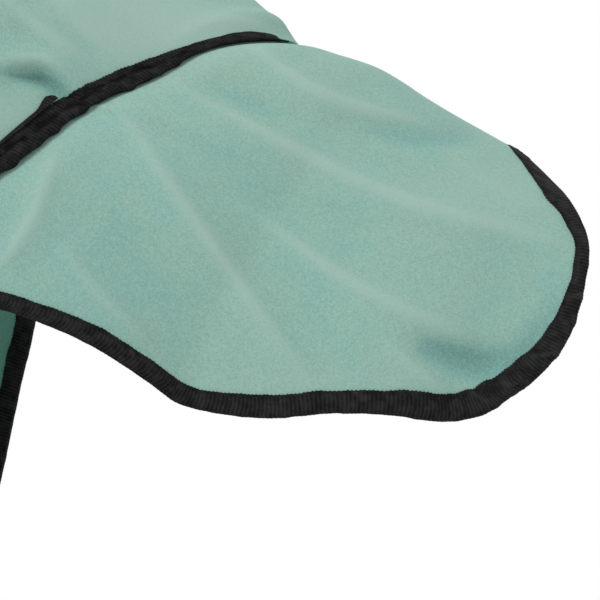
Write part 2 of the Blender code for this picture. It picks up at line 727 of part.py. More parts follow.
def chest_fastening(form, web, steel):
    """The one chest strap, its buckle, the tab that holds it and its keeper."""
    frame = ChestFrame(form)
    rest = CLOTH / 2 + TAPE_GAP + TAPE + CHEST_LIFT + WEB / 2
    bar = BAR_RADIUS + GAP
    loop = bar + WEB / 2
    top = BAR_HEIGHT + max(loop + WEB / 2, bar + 2 * PRONG_RADIUS)
    over = top + GAP + WEB / 2
    on_tab = rest + 2 * (WEB + GAP)
    sewn = CLOTH / 2 + GAP + WEB / 2
    strap = [(STRAP_START + reach, sewn) for reach in np.linspace(0, STRAP_SEWN, 3)]
    strap += [(s, rest) for s in np.linspace(STRAP_START + STRAP_RISEN, FRONT_BAR + STRAP_UNDER, 6)]
    strap += [(FRONT_BAR + past, rest + rise) for past, rise in STRAP_RISE]
    strap += [(HEEL_BAR + past, over - fall) for past, fall in STRAP_CREST]
    strap += [(HEEL_BAR + past, on_tab + rise) for past, rise in STRAP_FALL]
    strap += [(s, on_tab) for s in np.linspace(HEEL_BAR + STRAP_TAIL, STRAP_END, 4)]
    strap = webbing("chest_strap", frame, strap, WEB_WIDTH, WEB, web)
    prong_way = (-SLOT / 2, SLOT / 2)
    hole = [HEEL_BAR + past for past in STRAP_HOLE]
    cut(strap, "strap_hole", box_corners(frame, hole, prong_way, STRAP_HOLE_DEPTH))
    turns = np.radians(np.linspace(90, 270, TAB_TURNS))
    flat = np.linspace(HEEL_BAR + TAB_MEETS, KEEPER_AT + KEEPER_CLEAR, 3)
    tab = [(TAB_END, sewn + WEB + GAP), (TAB_END - TAB_SEWN, sewn + WEB + GAP)]
    tab += [(s, rest + WEB + GAP) for s in flat[::-1]]
    tab += [(HEEL_BAR + TAB_LOOP, BAR_HEIGHT + loop - TAB_EASE)]
    tab += [(HEEL_BAR + loop * math.cos(t), BAR_HEIGHT + loop * math.sin(t)) for t in turns]
    tab += [(HEEL_BAR + TAB_LOOP, BAR_HEIGHT - loop + TAB_EASE_UNDER)]
    tab += [(s, rest) for s in flat]
    tab += [(TAB_END - TAB_SEWN, sewn), (TAB_END, sewn)]
    tab = webbing("buckle_tab", frame, tab, WEB_WIDTH, WEB, web)
    slot = [HEEL_BAR + past for past in TAB_SLOT]
    cut(tab, "tab_slot", box_corners(frame, slot, prong_way, TAB_SLOT_DEPTH))
    buckle(frame, steel)
    low, high = rest - WEB / 2 - GAP - KEEPER / 2, on_tab + WEB / 2 + GAP + KEEPER / 2
    wide = WEB_WIDTH / 2 + GAP + KEEPER / 2
    keeper_loop(frame, low, high, wide, web)


def buckle(frame, steel):
    """The buckle's round rod frame and the prong that hooks on its heel bar."""
    half = WEB_WIDTH / 2 + BAR_RADIUS + BUCKLE_SPARE - BUCKLE_ROUND
    middle = (HEEL_BAR + FRONT_BAR) / 2
    reach = (HEEL_BAR - FRONT_BAR) / 2 - BUCKLE_ROUND
    outline = []
    for corner_s, corner_w, start in ((1, 1, 0), (-1, 1, 90), (-1, -1, 180), (1, -1, 270)):
        for turn in np.radians(np.linspace(start, start + 90, 5)):
            outline.append((middle + corner_s * reach + BUCKLE_ROUND * math.cos(turn),
                            corner_w * half + BUCKLE_ROUND * math.sin(turn)))
    bars = [frame.at(s, w, BAR_HEIGHT) for s, w in outline]
    rod("buckle_frame", bars, BAR_RADIUS, BAR_SIDES, steel, True)
    wrap = BAR_RADIUS + GAP + PRONG_RADIUS
    hook = np.radians(np.linspace(*PRONG_HOOK, 8))
    prong = [(HEEL_BAR + wrap * math.cos(t), BAR_HEIGHT + wrap * math.sin(t)) for t in hook]
    straight = np.linspace(HEEL_BAR - PRONG_RUN, FRONT_BAR - PRONG_TIP, 5)
    prong += [(s, BAR_HEIGHT + wrap) for s in straight]
    places = [frame.at(s, 0.0, n) for s, n in prong]
    rod("buckle_prong", places, PRONG_RADIUS, PRONG_SIDES, steel)


def keeper_loop(frame, low, high, wide, web):
    """A thin loop round the strap's tail and the tab."""
    points, faces = [], []
    for shell in (-1, 1):
        for s in (KEEPER_AT - KEEPER_LONG / 2, KEEPER_AT + KEEPER_LONG / 2):
            for w, n in ((-1, -1), (1, -1), (1, 1), (-1, 1)):
                grow = shell * KEEPER / 2
                points.append(frame.at(s, w * (wide + grow), (low if n < 0 else high) + n * grow))
    for k in range(4):
        m = (k + 1) % 4
        faces.append((k, m, m + 4, k + 4))
        faces.append((k + 8, k + 12, m + 12, m + 8))
        faces.append((k, k + 8, m + 8, m))
        faces.append((k + 4, m + 4, m + 12, k + 12))
    mesh_object("strap_keeper", points, faces, web)


def main():
    for thing in list(bpy.data.objects):
        bpy.data.objects.remove(thing, do_unlink=True)
    fleece = material("fleece", FLEECE_GREEN, 0.95)
    tape = material("tape", TAPE_BLACK, 0.7)
    web = material("webbing", TAPE_BLACK, 0.75)
    steel = material("steel", STEEL_GREY, 0.35, 1.0)
    form = BodyForm()
    levels = body_levels(form)
    halves = {}
    for side, name in ((-1, "left"), (1, "right")):
        sheet = body_sheet(form, side)
        halves[name] = sheet
        thicken(name + "_body", sheet, CLOTH, fleece)
        widths = np.ones(len(sheet.ring) - 1)
        widths[-(len(levels) - 1):] = run_out(levels[:0:-1])
        binding_solid(name + "_body_binding", sheet, sheet.ring[:-1], tape, widths)
    rows = tape_end(halves["left"], levels)
    swept("left_tape_end", rows, ((0, 1, 2, 3),), tape)
    flap = flap_sheet(halves["right"])
    thicken("tail_flap", flap, CLOTH, fleece)
    binding_solid("flap_binding", flap, flap.ring[3:-3], tape)
    chest_fastening(form, web, steel)


if __name__ == "__main__":
    main()
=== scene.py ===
"""Horse rug: fine fleece panels, ribbed bindings, chest strap, buckle and stage.

Laid out as an add-on and run as a script.  The rug's form is worked out from
its stations, as its solids are, and made finer, with its folds, nap and ribs.
"""
import functools
import math

import bmesh
import bpy
import numpy as np
from bpy.props import FloatProperty, FloatVectorProperty, PointerProperty
from bpy.types import Operator, Panel, PropertyGroup
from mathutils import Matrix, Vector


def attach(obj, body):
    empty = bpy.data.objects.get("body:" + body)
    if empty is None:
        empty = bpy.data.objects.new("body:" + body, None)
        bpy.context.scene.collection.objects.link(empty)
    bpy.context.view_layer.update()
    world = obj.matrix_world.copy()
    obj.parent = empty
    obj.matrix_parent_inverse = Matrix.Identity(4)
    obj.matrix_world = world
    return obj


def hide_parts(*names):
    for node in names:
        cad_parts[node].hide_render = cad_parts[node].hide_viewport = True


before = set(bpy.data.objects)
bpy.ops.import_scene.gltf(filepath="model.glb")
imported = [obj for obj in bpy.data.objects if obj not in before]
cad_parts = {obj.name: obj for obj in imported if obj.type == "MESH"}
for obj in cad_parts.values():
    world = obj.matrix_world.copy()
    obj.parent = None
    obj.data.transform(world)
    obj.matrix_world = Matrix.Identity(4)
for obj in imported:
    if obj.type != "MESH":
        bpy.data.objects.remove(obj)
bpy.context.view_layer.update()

bl_info = {
    "name": "Horse rug",
    "version": (1, 0, 0),
    "blender": (4, 5, 0),
    "location": "3D View > Sidebar > Rug",
    "description": "Makes a fleece horse rug with a tail flap around its solid model",
    "category": "Add Mesh",
}

TURN = 2 * math.pi


def mm(*rows, plain=0):
    """A table in millimetres as metres, but for its last, plain columns."""
    table = np.array(rows, float)
    table[:, :table.shape[1] - plain] /= 1000
    return table


def parts_to(*stops):
    """Parts of a length from 0 up to each stop in turn, in so many steps."""
    parts = [0.0]
    for stop, steps in stops:
        parts += list(np.linspace(parts[-1], stop, steps + 1)[1:])
    return np.array(parts)


# ---- form, as its solids have it
CLOTH, TAPE = 0.0025, 0.0010  # thickness
GAP, TAPE_GAP = 0.0003, 0.0004  # between pieces that touch, and between tape and cloth
BIND_WIDTH, LAP_WIDTH = 0.0150, 0.032  # of the folded binding, and of the flap's hidden edge
# From the body's middle surface to the flap's, and at the spine, where no tape is.
ROOT_DEPTH, RIDGE_DEPTH = CLOTH + TAPE_GAP + TAPE + 0.0005, CLOTH + GAP + 0.0002
ROOT_CLEAR = 0.003  # the flap turns this far behind the body's edge
DOCK = np.array([0.720, 0.0, -0.105])  # where the back edge crosses the spine
FLAP_LEVEL = 0.42  # part of the rear drop where the flap's hem meets the body
FLAP_MIDDLE, BODY_MIDDLE = -0.25, -0.45  # levels inside them, which their faces look away from
SECTION_TURNS = np.radians(np.arange(0, 85, 14))  # round the back, spine to side
SECTION_SWEEP = 0.27  # how early a station swings from its spine place to its side place
CURVE_STEPS = 401
# Body stations from the withers to the croup: the spine's x and z; then x, y
# and z at the widest place, half way down the hanging part, and at the hem.
BODY_STATIONS = mm(
    (-640, 52, -905, 160, -235, -1105, 8, -500, -1090, 8, -790),
    (-622, 53, -865, 180, -238, -1090, 85, -505, -1076, 85, -795),
    (-580, 51, -790, 207, -240, -1012, 185, -512, -1002, 185, -802),
    (-485, 40, -620, 245, -250, -845, 265, -522, -842, 270, -812),
    (-300, 10, -350, 275, -250, -450, 308, -530, -460, 316, -818),
    (-50, 1, -60, 292, -255, -80, 318, -530, -80, 326, -815),
    (200, 10, 170, 294, -255, 150, 315, -520, 150, 324, -808),
    (400, 18, 320, 290, -250, 275, 306, -500, 270, 318, -800),
    (560, -3, 410, 277, -270, 350, 292, -490, 340, 306, -795))
# The rear edge from the dock down, and the steps from it to a line ahead of
# it, over which the croup swells above the binding; all aft, out, up.
REAR_EDGE = mm(
    (0, 0, 0, -34, 0, 34.5), (-10, 25, 4.5, -38, 2, 29), (-33, 50, 5, -38, 4, 23),
    (-66, 80, -3, -37, 7, 19), (-98, 108, -21.5, -35, 10, 17), (-134, 140, -39, -35, 13, 15),
    (-175, 180, -73, -37, 17, 11), (-199, 200, -93, -38, 16, 8), (-213, 218, -125, -38, 13, 7),
    (-217.5, 238, -175, -38, 11, 5), (-222, 248, -212, -38, 10, 4), (-234, 254, -260, -38, 9, 4),
    (-252, 258, -339, -38, 9, 4), (-279, 270, -440, -39, 7, 4), (-305, 287, -683, -39, 5, 2))
# The flap's ridge, its end down to its lowest corner, and its hem forward.
FLAP_RIDGE = mm(
    (10, 0, -3.5), (30, 0, -8), (55, 0, -16), (70, 0, -24.5), (85, 0, -34.5), (105, 0, -46.5),
    (130, 0, -60.5), (147, 0, -70))
FLAP_END = mm(
    (147, 0, -70), (153, 20, -75), (168.5, 45, -90), (183.5, 70, -107), (193.5, 96, -132.5),
    (189, 118, -161), (179, 138, -189), (165.5, 150, -207), (154.5, 157, -216))
FLAP_HEM = mm(
    (154.5, 157, -216), (120, 174, -237.5), (101, 180, -240.5), (63, 189, -235.5),
    (34, 194, -233.7), (-23, 203, -236), (-51, 206, -232), (-70, 208, -227), (-88.5, 211, -213.5),
    (-126, 216, -189), (-160.5, 221, -173.2), (-182, 224, -166.2))

# ---- folds
# Seen from the side, aft and up from the dock: where each starts, bends and
# ends, its width above and below its line, its rise (a hollow's is below
# nothing), and the strength of the painted highlight on its crest, or of the
# painted shade in its hollow.
FLAP_FOLDS = mm(
    (-87, -24, 60, -101, 180, -134, 13, 17, 6, 1),
    (-118, -40, -57, -127, 11, -218, 16, 14, 6.2, 0.85),
    (-30, -110, 36, -156, 124, -196, 14, 9, 5.6, 0.86),
    (-36, 2, 8, -31, 96, -56, 10, 13, 4.6, 1.05),
    (-187, -146, -166, -113, -154, -70, 10, 13, 4.4, 0.9),
    (-148, -128, -122, -160, -88, -192, 12, 12, 3.8, 0.5),
    (58, -190, 78, -208, 100, -226, 11, 10, 3, 0.5),
    (102, -76, 134, -97, 168, -114, 14, 12, 2, 0.28),
    (24, -50, 70, -61, 130, -65, 10, 9, -3, 0.5), (-80, -22, -40, -36, 6, -54, 10, 11, -3, 0.5),
    (-50, -76, 6, -106, 66, -138, 16, 16, -1.4, 0.17),
    (-124, -58, -100, -136, -54, -204, 26, 24, -1.2, 0.17),
    (-64, -100, -30, -136, 12, -182, 20, 20, -0.5, 0.05),
    (78, -191, 106, -199, 136, -204, 6.8, 14, -6.4, 1),
    (110, -212, 150, -200, 180, -162, 8.5, 20, -3, 0.58), plain=1)
FAR_FLAP_FOLDS = mm(
    (-80, -30, 30, -88, 168, -138, 15, 16, 6, 1),
    (-124, -56, -82, -130, -34, -218, 16, 16, 6.2, 1),
    (-20, -74, 44, -140, 72, -206, 14, 13, 5.2, 0.9),
    (-24, -6, 26, -34, 94, -58, 10, 12, 4, 0.85),
    (-168, -156, -150, -118, -142, -80, 12, 12, 4.2, 0.8),
    (82, -96, 112, -150, 112, -206, 13, 12, 4, 0.7),
    (-62, -52, -20, -100, 10, -152, 12, 12, -3.4, 0.6),
    (20, -66, 70, -86, 120, -94, 11, 11, -3, 0.6),
    (88, -120, 132, -166, 146, -190, 12, 12, -5.6, 0.8), plain=1)
CROUP_FOLDS = mm(
    (-194, -12, -166, -12.5, -140, -35, 12, 2.6, 5, 0.6),
    (-188, -19, -162, -21, -138, -41.5, 2.6, 9.2, -5.8, 0.86),
    (-172, -15, -154, -22.5, -139, -36, 2.2, 6, -0.8, 0.9),
    (-168, 38, -140, 14, -106, -13, 5, 8, 2.4, 1), (-196, 36, -172, 12, -140, -10, 6, 8, 2, 0.6),
    (-186, 16, -172, 2, -160, -6, 6, 6, -1.8, 0.55),
    (-160, 16, -142, 0, -124, -12, 7, 6, -1.4, 0.36), (-88, 0, -58, 16, -20, 14, 7, 8, 1.8, 0.7),
    (-310, -60, -266, -85, -236, -118, 16, 13, 5, 0.8), plain=1)
FAR_CROUP_FOLDS = mm(
    (-250, -14, -196, -22, -150, -44, 20, 6, 4.6, 0.6),
    (-240, -36, -196, -36, -158, -50, 6, 11, -4.8, 0.8),
    (-156, 26, -112, 4, -74, -8, 7, 9, 2.4, 0.9),
    (-330, -90, -280, -110, -246, -150, 15, 13, 4.8, 0.8), plain=1)
# The hang of the sides: long soft flutes, most of them deepest at the hem.
SIDE_FOLDS = mm(
    (-330, -200, -345, -420, -372, -720, 30, 24, 8, 0.55),
    (-440, -330, -450, -520, -455, -720, 26, 32, 7, 0.55),
    (-560, -150, -590, -380, -600, -715, 34, 28, 9, 0.55),
    (-720, -300, -735, -500, -760, -715, 30, 36, 6, 0.55),
    (-860, -120, -905, -380, -930, -715, 36, 30, 8.5, 0.55),
    (-1040, -260, -1060, -480, -1075, -715, 30, 28, 7, 0.55),
    (-1190, -140, -1230, -400, -1250, -710, 32, 40, 8, 0.55),
    (-1330, -60, -1420, -280, -1500, -560, 30, 26, 6, 0.55),
    (-1380, 60, -1500, -80, -1600, -260, 24, 20, 5.5, 0.55),
    (-640, -60, -655, -250, -690, -500, 44, 52, -5, 0.16),
    (-980, -100, -990, -320, -1000, -580, 48, 42, -6, 0.16), plain=1)
# Broad places painted paler as a painted highlight: aft, up, long, high, amount.
HIGHLIGHT_PLACES = mm(
    (-112, 22, 52, 34, 1.3), (-60, 0, 40, 26, 0.45), (-196, -46, 45, 18, 0.95),
    (132, -98, 50, 24, 0.45), (-125, -75, 35, 22, 0.3), (45, -218, 70, 12, 0.4),
    (-60, -222, 50, 12, 0.25), plain=1)
FAR_SIDE = (0.047, 0.86)  # how far aft the far side's flutes lie, and their share of the height
FOLD_STEPS = 61
FOLD_TAIL, FOLD_FADE = 0.04, 0.70  # part of a half wave that a fold starts at, and its power
FOLD_REACH = 4.0  # a fold reaches this many times its width
CREST_ROUND, CREST_HIGHLIGHT = 0.0022, 0.0036  # how round a crest is, and half the width of its painted highlight line
CREST_SPREAD = 0.50  # how much painted highlight the rest of a fold gets
SEAM_DIP, SEAM_ROLL = 0.0011, 0.0045  # the cloth rolls down to the spine seam
RIM_SHARE, RIM_FADE = 0.45, 0.030  # what is left of a fold at the flap's rim
RIDGE_FADE, ROOT_FADE = 0.022, 0.10  # folds fade toward the spine and the flap's root
# Behind the body's edge the fleece swells and sinks, more so away from the spine.
SWELL, SWELL_RISES, SWELL_SINKS = 0.0023, (0.0005, 0.0042), (0.0070, 0.0400)
SWELL_SPAN = (0.026, 0.080)
DOCK_SHAPE = (0.0210, 0.0048, 0.0105)  # the spine's rise ahead of the dock: place, rise, width
DOCK_SPAN = (0.020, 0.075)

# ---- how finely the cloth is made
ALONG = parts_to((0.80, 111), (0.965, 70), (1, 34))
ACROSS = parts_to((0.10, 26), (0.30, 62), (0.42, 20), (1, 55))
FLAP_COLUMNS, FLAP_ROWS, LAP_ROWS = 200, 84, 8  # round the flap, down it, under the body
ROOT_STEPS, LINE_STEPS = 241, 160
SHARP = math.radians(60)

# ---- binding
RIB_STEPS = 3  # sections of tape to a rib
# The tape's face from its woven edge to the rim, and the same inside the rug:
# how far across, and how many thicknesses high.
TAPE_FACE = (
    (1, 0.3), (0.965, 0.85), (0.87, 0.85), (0.73, 1.15), (0.59, 1.35), (0.45, 1.4), (0.28, 1.35),
    (0.08, 1.05))
TAPE_BACK = (
    (0.09, 1.02), (0.96, 0.98), (1, 0.45))
TAPE_INNER = ((1.0, -1), (0.02, -1), (0.02, 1), (1.0, 1))  # on the cloth: across, face
RIM_TURNS = np.radians((58, 0, -58))
RIM_SKIP = 2  # columns left free where the flap's hem starts
RIM_ACROSS, RIM_LEAST = 0.002, 0.0005  # how far past the edge it is mapped, and least depth
THICK_OVER = (0.05, 0.65)  # a tip gains its thickness as this share of the tape shows
CREASE_OVER, RIB_OVER = (1.0, 0.8), (1.0, 0.72)  # where they grow, in from the woven edge
EDGE_RIB, TIP_RIM = 0.4, 0.25  # shares left of a rib at that edge, and of the rim at a tip
RIM_CREASE, ROLL_CRUMPLE = 0.45, 0.3  # share of a crease at the rim; more where it is rolled
STITCH_ACROSS, STITCH_LIFT = 0.870, 0.62
STITCHED_FROM = 0.5  # share of the width that shows from which the tape is stitched
TIP_SINK = 0.0009  # toward its tip the tape settles into the nap by this
INNER_CLEAR = 0.0001  # least thickness of the tape
TEETH = 3.3  # the woven edge's teeth, in rib depths
ROOT_CALM, EVEN_OVER = 9, 25  # places that the tape's root and widening are evened over
ROOT_TRIES, ROOT_STRIDE = 12, 3  # steps to find the flap tape's root, and their longest
SLANT_MOST = 1.6  # widening where the panel's rows meet the rim at a slant
ROOT_SLICE = 0.03  # half the slice of the tape, at its root, whose true width is read
BUNCHED = 0.15  # least share of the edge's waves that is left where the root bunches
EDGE_WAVES = (
    (0.0053, 0.00006, 2.2), (0.0087, 0.0001, 5.1), (0.0173, 0.00018, 0.3), (0.031, 0.00026, 1.9),
    (0.0537, 0.0003, 4.4), (0.113, 0.0003, 2.7))  # length, height, start
CRUMPLE = (
    (0.9, 0.0093, 0.00016, 0.4), (-1.3, 0.0141, 0.00022, 2), (1.7, 0.0227, 0.00026, 3.3),
    (-0.8, 0.041, 0.00022, 5.2))  # lean, length, height, start
CREASE_FULL = 0.0011  # a rise of this much gets the most painted highlight, a fall of it the darkest painted shade
# The rear binding is rolled: a groove runs along it, and its rim bulges.
ROLL_FROM, ROLL_TO = (0.050, 0.130), (0.330, 0.460)
GROOVE, GROOVE_AT, GROOVE_WIDTH = 0.0014, 0.50, 0.11  # deep, and across the tape
GROOVE_SWINGS = ((0.093, 0.09, 0), (0.041, 0.05, 0))
BULGE, BULGE_LEVEL = 0.0021, 0.25
BULGES = (
    (0.037, 0.3, 0.8), (0.0213, 0.26, 2.4), (0.0137, 0.2, 4))
# How much of the binding shows: by the part of the rear drop, and round the
# flap by the distance from its ridge.
TAPE_RUN_OUT = np.array([
    (0.03, 0.04), (0.036, 0.22), (0.043, 0.3), (0.051, 0.36), (0.062, 0.43), (0.078, 0.43),
    (0.092, 0.39), (0.105, 0.385), (0.119, 0.41), (0.129, 0.53), (0.141, 0.63), (0.152, 0.76),
    (0.163, 0.84), (0.176, 0.87), (0.205, 0.87), (0.213, 0.81), (0.221, 0.88), (0.235, 0.92),
    (0.25, 0.98)])
RIDGE_NARROW = mm(
    (0, 0.3), (10, 0.42), (24, 0.6), (36, 0.7), (52, 0.83), (66, 0.92), (82, 0.96), (89, 0.87),
    (96, 0.76), (108, 0.72), (118, 0.62), (131, 0.56), (142, 0.62), (154, 0.6), (170, 0.67),
    (185, 0.78), (197, 0.9), (212, 0.96), (238, 1.02), (262, 1), (277, 1.06), (288, 1.09),
    (299, 1.05), (314, 1.1), (340, 1.01), (353, 0.93), (364, 0.95), (380, 0.89), (405, 0.9),
    (435, 0.91), (455, 0.82), (475, 0.82), (505, 0.8), (545, 0.79), (600, 0.73), plain=1)
# Puckers from the near hem's start: place, lean, width and rise.
FLAP_PUCKERS = (
    (0.118, -0.55, 0.003, 0.00055), (0.236, 0.8, 0.0036, 0.00045), (0.262, 1.3, 0.0032, 0.0006),
    (0.365, -0.9, 0.0034, 0.0008), (0.377, -1.2, 0.0026, -0.0005), (0.39, -0.95, 0.003, 0.00095),
    (0.404, -0.7, 0.0026, -0.00055), (0.42, -0.85, 0.0034, 0.0009), (0.447, -0.55, 0.003, 0.0007),
    (0.456, -0.6, 0.0024, -0.0005), (0.468, -0.35, 0.0028, 0.0006), (0.61, 0.5, 0.0034, 0.0005))
# The spare tape end, over the left binding's woven edge.
TAPE_END_LEVELS, TAPE_END_STEPS = (0.350, 0.233), 60  # between these parts of the drop
TAPE_END_WIDTH, TAPE_END_LAP = 0.0054, 0.95  # how much of it shows, from where across
TAPE_END_ROUND, TAPE_END_CURL = 0.0045, 0.0018  # its tip is this round, and lifts by this
TAPE_END_CURLS, TAPE_END_RIBS = 0.010, 1.4  # over this length; how much stronger its ribs are
# Its first share of the width, and shares that it widens by over parts of its
# length; its section as shares of the width and thicknesses.
TAPE_END_NARROW, TAPE_END_WIDENS = 0.05, ((0.30, 0.30, 0.70), (0.65, 0.82, 0.99))
TAPE_END_PROFILE = (
    (0, 0.05), (0, 0.95), (0.25, 1.1), (0.6, 1.2), (0.92, 1), (1, 0.35), (0.96, 0), (0.45, 0))

# ---- chest fastening, in places along the strap
WEB_WIDTH, WEB, KEEPER = 0.025, 0.0022, 0.0008  # width; thickness of webbing and keeper
STRAP_LEVEL, CHEST_RISE = 0.80, 0.02  # part of the drop, and that over which up is read
CHEST_REACH, CHEST_STEPS = 0.12, 25  # part of the body's length that its frame covers
TANGENT_STEP = 0.004  # half the stretch over which the strap's direction is read
CHEST_LIFT = 0.0008  # the strap clears the front bindings by this
STRAP_START, STRAP_SEWN = -0.095, 0.028  # sewn to the right front, over this length
STRAP_RISEN, STRAP_UNDER = 0.048, 0.004  # on the bindings' level from here to past a bar
FRONT_BAR, HEEL_BAR = 0.016, 0.048  # the bar under the prong's tip, and the tab's
STRAP_END, STRAP_TAIL = 0.120, 0.024  # its free end, and the start of its flat tail
TAB_END, TAB_SEWN, TAB_TURNS = 0.104, 0.008, 9
TAB_MEETS, TAB_LOOP = 0.014, 0.006  # past the heel bar its layers part, and leave its loop
TAB_EASE = (0.0012, 0.0002)  # how far the upper and lower one have eased there
STRAP_HOLE, TAB_SLOT = (-0.0178, -0.0022), (-0.006, 0.008)  # for the prong, from the heel bar
# Past the front bar over the bindings; past the heel bar under the crest; and
# past it over the tab.
STRAP_RISE = ((0.010, 0.0014), (0.016, 0.0040), (0.021, 0.0074))
STRAP_CREST = ((-0.007, 0.0009), (-0.004, 0.0), (0.003, 0.0))
STRAP_FALL = ((0.010, 0.0018), (0.016, 0.0))
KEEPER_AT, KEEPER_LONG, KEEPER_CLEAR, KEEPER_ROUND = 0.078, 0.012, 0.007, 0.0012
BUCKLE_RUN, STRAIGHT_FADE = 0.006, 0.035  # straight past the bars, then back to the chest
BUCKLE_ROUND, BUCKLE_SPARE = 0.003, 0.0015  # its corners, and room beside the webbing
BAR_RADIUS, BAR_HEIGHT, ROD_SIDES = 0.0020, 0.0078, 24
PRONG_RADIUS, PRONG_HOOK = 0.00125, (-80, 90)  # degrees that it turns round the heel bar
PRONG_RUN, PRONG_TIP = 0.006, 0.003
SEAM_IN, TAB_SEAM_IN, SEAM_ASIDE = 0.003, 0.0015, 0.0025  # stitches inside what is sewn
ROD_ENDS = (0.45, 0.86)  # a rod's last two sections, as shares of its radius
WEB_STEP, KEEPER_STEP = 0.0012, 0.003
# Sections: how far across, and how thick.
WEB_PROFILE = ((-1.0, 0.40), (-0.94, 0.88), (-0.56, 1.0), (-0.136, 0.96),
               (0.136, 0.96), (0.56, 1.0), (0.94, 0.88), (1.0, 0.40))
KEEPER_PROFILE = ((-1.0, 0.35), (-0.85, 0.9), (0.0, 1.0), (0.85, 0.9), (1.0, 0.35))

# ---- stage
VIEW_TURN, VIEW_TILT = math.radians(2), math.radians(4)  # toward the tail, and down
VIEW_DISTANCE, VIEW_LENS = 2.0, 171.4
DOCK_ASIDE, DOCK_ABOVE = 0.0014, 0.1759  # the dock's place in the view, from its middle
FLOOR_LEVEL, FLOOR_RADIUS = -1.46, 5.0  # the ground under a horse of 150 cm
FLOOR_FADE, FLOOR_SIDES = (1.2, 3.6), 96  # it turns white between these distances
SURROUND = 0.56  # the white surround's strength, where it isn't seen itself
LAMPS = (  # name, place, aim, size, power
    ("key", (-1.6, -2.6, 2.9), (0.55, 0.0, -0.2), 1.5, 122.0),
    ("fill", (3.0, 1.8, 2.2), (0.4, 0.0, -0.2), 2.6, 26.0),
)


# ---- curves and surfaces
def unit(vectors):
    """Vectors scaled to length one."""
    return vectors / np.maximum(np.linalg.norm(vectors, axis=-1, keepdims=True), 1e-12)


def bell(values):
    """1 at nothing, and less to both sides."""
    return np.exp(-values ** 2)


def ease(low, high, values):
    """A smooth step from 0 at low to 1 at high."""
    t = np.clip((values - low) / (high - low), 0, 1)
    return t * t * (3 - 2 * t)


def waves(run, table):
    return sum(size * np.sin(TURN * run / length + start) for length, size, start in table)


def lengths(points):
    """How far along a line, or a grid's columns, each place lies."""
    steps = np.linalg.norm(np.diff(points, axis=0), axis=-1)
    return np.concatenate([0 * steps[:1], np.cumsum(steps, axis=0)])


def read_rows(where, known, table):
    """A table's rows, read between the places at which they are known."""
    return np.stack([np.interp(where, known, column) for column in np.transpose(table)], axis=-1)


def index_of(where, known):
    """Places as fractional indices."""
    return np.interp(where, known, np.arange(len(known)))


def smooth_line(points, where):
    """A smooth curve through points, read at parts of its length."""
    points = np.asarray(points, float)
    knots = lengths(points)
    knots = knots / knots[-1]
    slopes = np.gradient(points, knots, axis=0)
    where = np.clip(where, 0, 1)
    cell = np.clip(np.searchsorted(knots, where) - 1, 0, len(knots) - 2)
    span = (knots[cell + 1] - knots[cell])[:, None]
    t = (where - knots[cell])[:, None] / span
    part = ease(0, 1, t)
    return ((1 - part) * points[cell] + part * points[cell + 1]
            + span * ((t**3 - 2 * t**2 + t) * slopes[cell] + (t**3 - t**2) * slopes[cell + 1]))


def read_line(points, where):
    """A line of straight steps, read at parts of its true length."""
    reach = lengths(points)
    return read_rows(np.clip(where, 0, 1) * reach[-1], reach, points)


def even_line(points, where):
    """A smooth curve through points, read at parts of its true length."""
    return read_line(smooth_line(points, np.linspace(0, 1, CURVE_STEPS)), where)


def half_section(row, across):
    """One station of the body from the spine to the hem at the given parts."""
    (spine_x, spine_z, side_x, side_y, side_z), low, hem = row[:5], row[5:8], row[8:]
    points = [(spine_x + (side_x - spine_x) * math.sin(turn) * (1 + SECTION_SWEEP * math.cos(turn)),
               side_y * math.sin(turn), spine_z + (side_z - spine_z) * (1 - math.cos(turn)))
              for turn in SECTION_TURNS]
    return even_line(points + [low, (low + hem) / 2, hem], across)


def body_stations(across):
    """Every station of one half at the given parts of its drop."""
    edge, step = REAR_EDGE[:, :3], REAR_EDGE[:, 3:]
    return np.array([half_section(row, across) for row in BODY_STATIONS]
                    + [DOCK + even_line(line, across) for line in (edge + step, edge)])


def fold_rise(points, folds, shift=0.0, share=1.0):
    """How far soft folds raise a surface at points, seen from the side, and
    its tone: above nothing for painted highlight along crests, below
    nothing for painted shade in hollows."""
    flat = (points - DOCK)[..., ::2]
    rise, tone = np.zeros((2,) + flat.shape[:-1])
    for *places, above, below, height, strength in folds:
        line = smooth_line(np.reshape(places, (3, 2)) + (shift, 0), np.linspace(0, 1, FOLD_STEPS))
        reach = FOLD_REACH * max(above, below)
        near = ((flat > line.min(axis=0) - reach) & (flat < line.max(axis=0) + reach)).all(axis=-1)
        if not near.any():
            continue
        away = flat[near][:, None] - line
        step = np.linalg.norm(away, axis=-1).argmin(axis=1)
        away = away[np.arange(len(step)), step]
        run = unit(np.gradient(line, axis=0))[step]
        side = run[:, 0] * away[:, 1] - run[:, 1] * away[:, 0]
        past = (run * away).sum(axis=1) * ((step == 0) | (step == FOLD_STEPS - 1))
        gap = np.hypot(side, past)
        width = np.where(side > 0, above, below)
        part = FOLD_TAIL + (1 - 2 * FOLD_TAIL) * (step / (FOLD_STEPS - 1))
        fade = np.sin(np.pi * part) ** FOLD_FADE
        if height > 0:
            rounded = np.hypot(gap, CREST_ROUND) - CREST_ROUND
            bend = np.maximum(np.exp(-rounded / width) - math.exp(-FOLD_REACH), 0)
            # Painted highlight along the crest and over the rest of the fold.
            tone[near] += strength * fade * (bell(gap / CREST_HIGHLIGHT) + bend * CREST_SPREAD)
        else:
            bend = bell(gap / width)
            # Painted shade in the hollow.
            tone[near] -= strength * fade * bend
        rise[near] += height * share * fade * bend
    return rise, tone


def painted_highlight_at(points):
    """How much painted highlight lies at points."""
    x, _, z = np.moveaxis(points - DOCK, -1, 0)
    return sum(amount * bell((x - aft) / long) * bell((z - up) / high)
               for aft, up, long, high, amount in HIGHLIGHT_PLACES)


def outward(places, inside):
    """The normals of a grid, away from what is inside it."""
    normals = unit(np.cross(np.gradient(places, axis=0), np.gradient(places, axis=1)))
    return normals * np.sign((normals * (places - inside)).sum(axis=-1).mean())


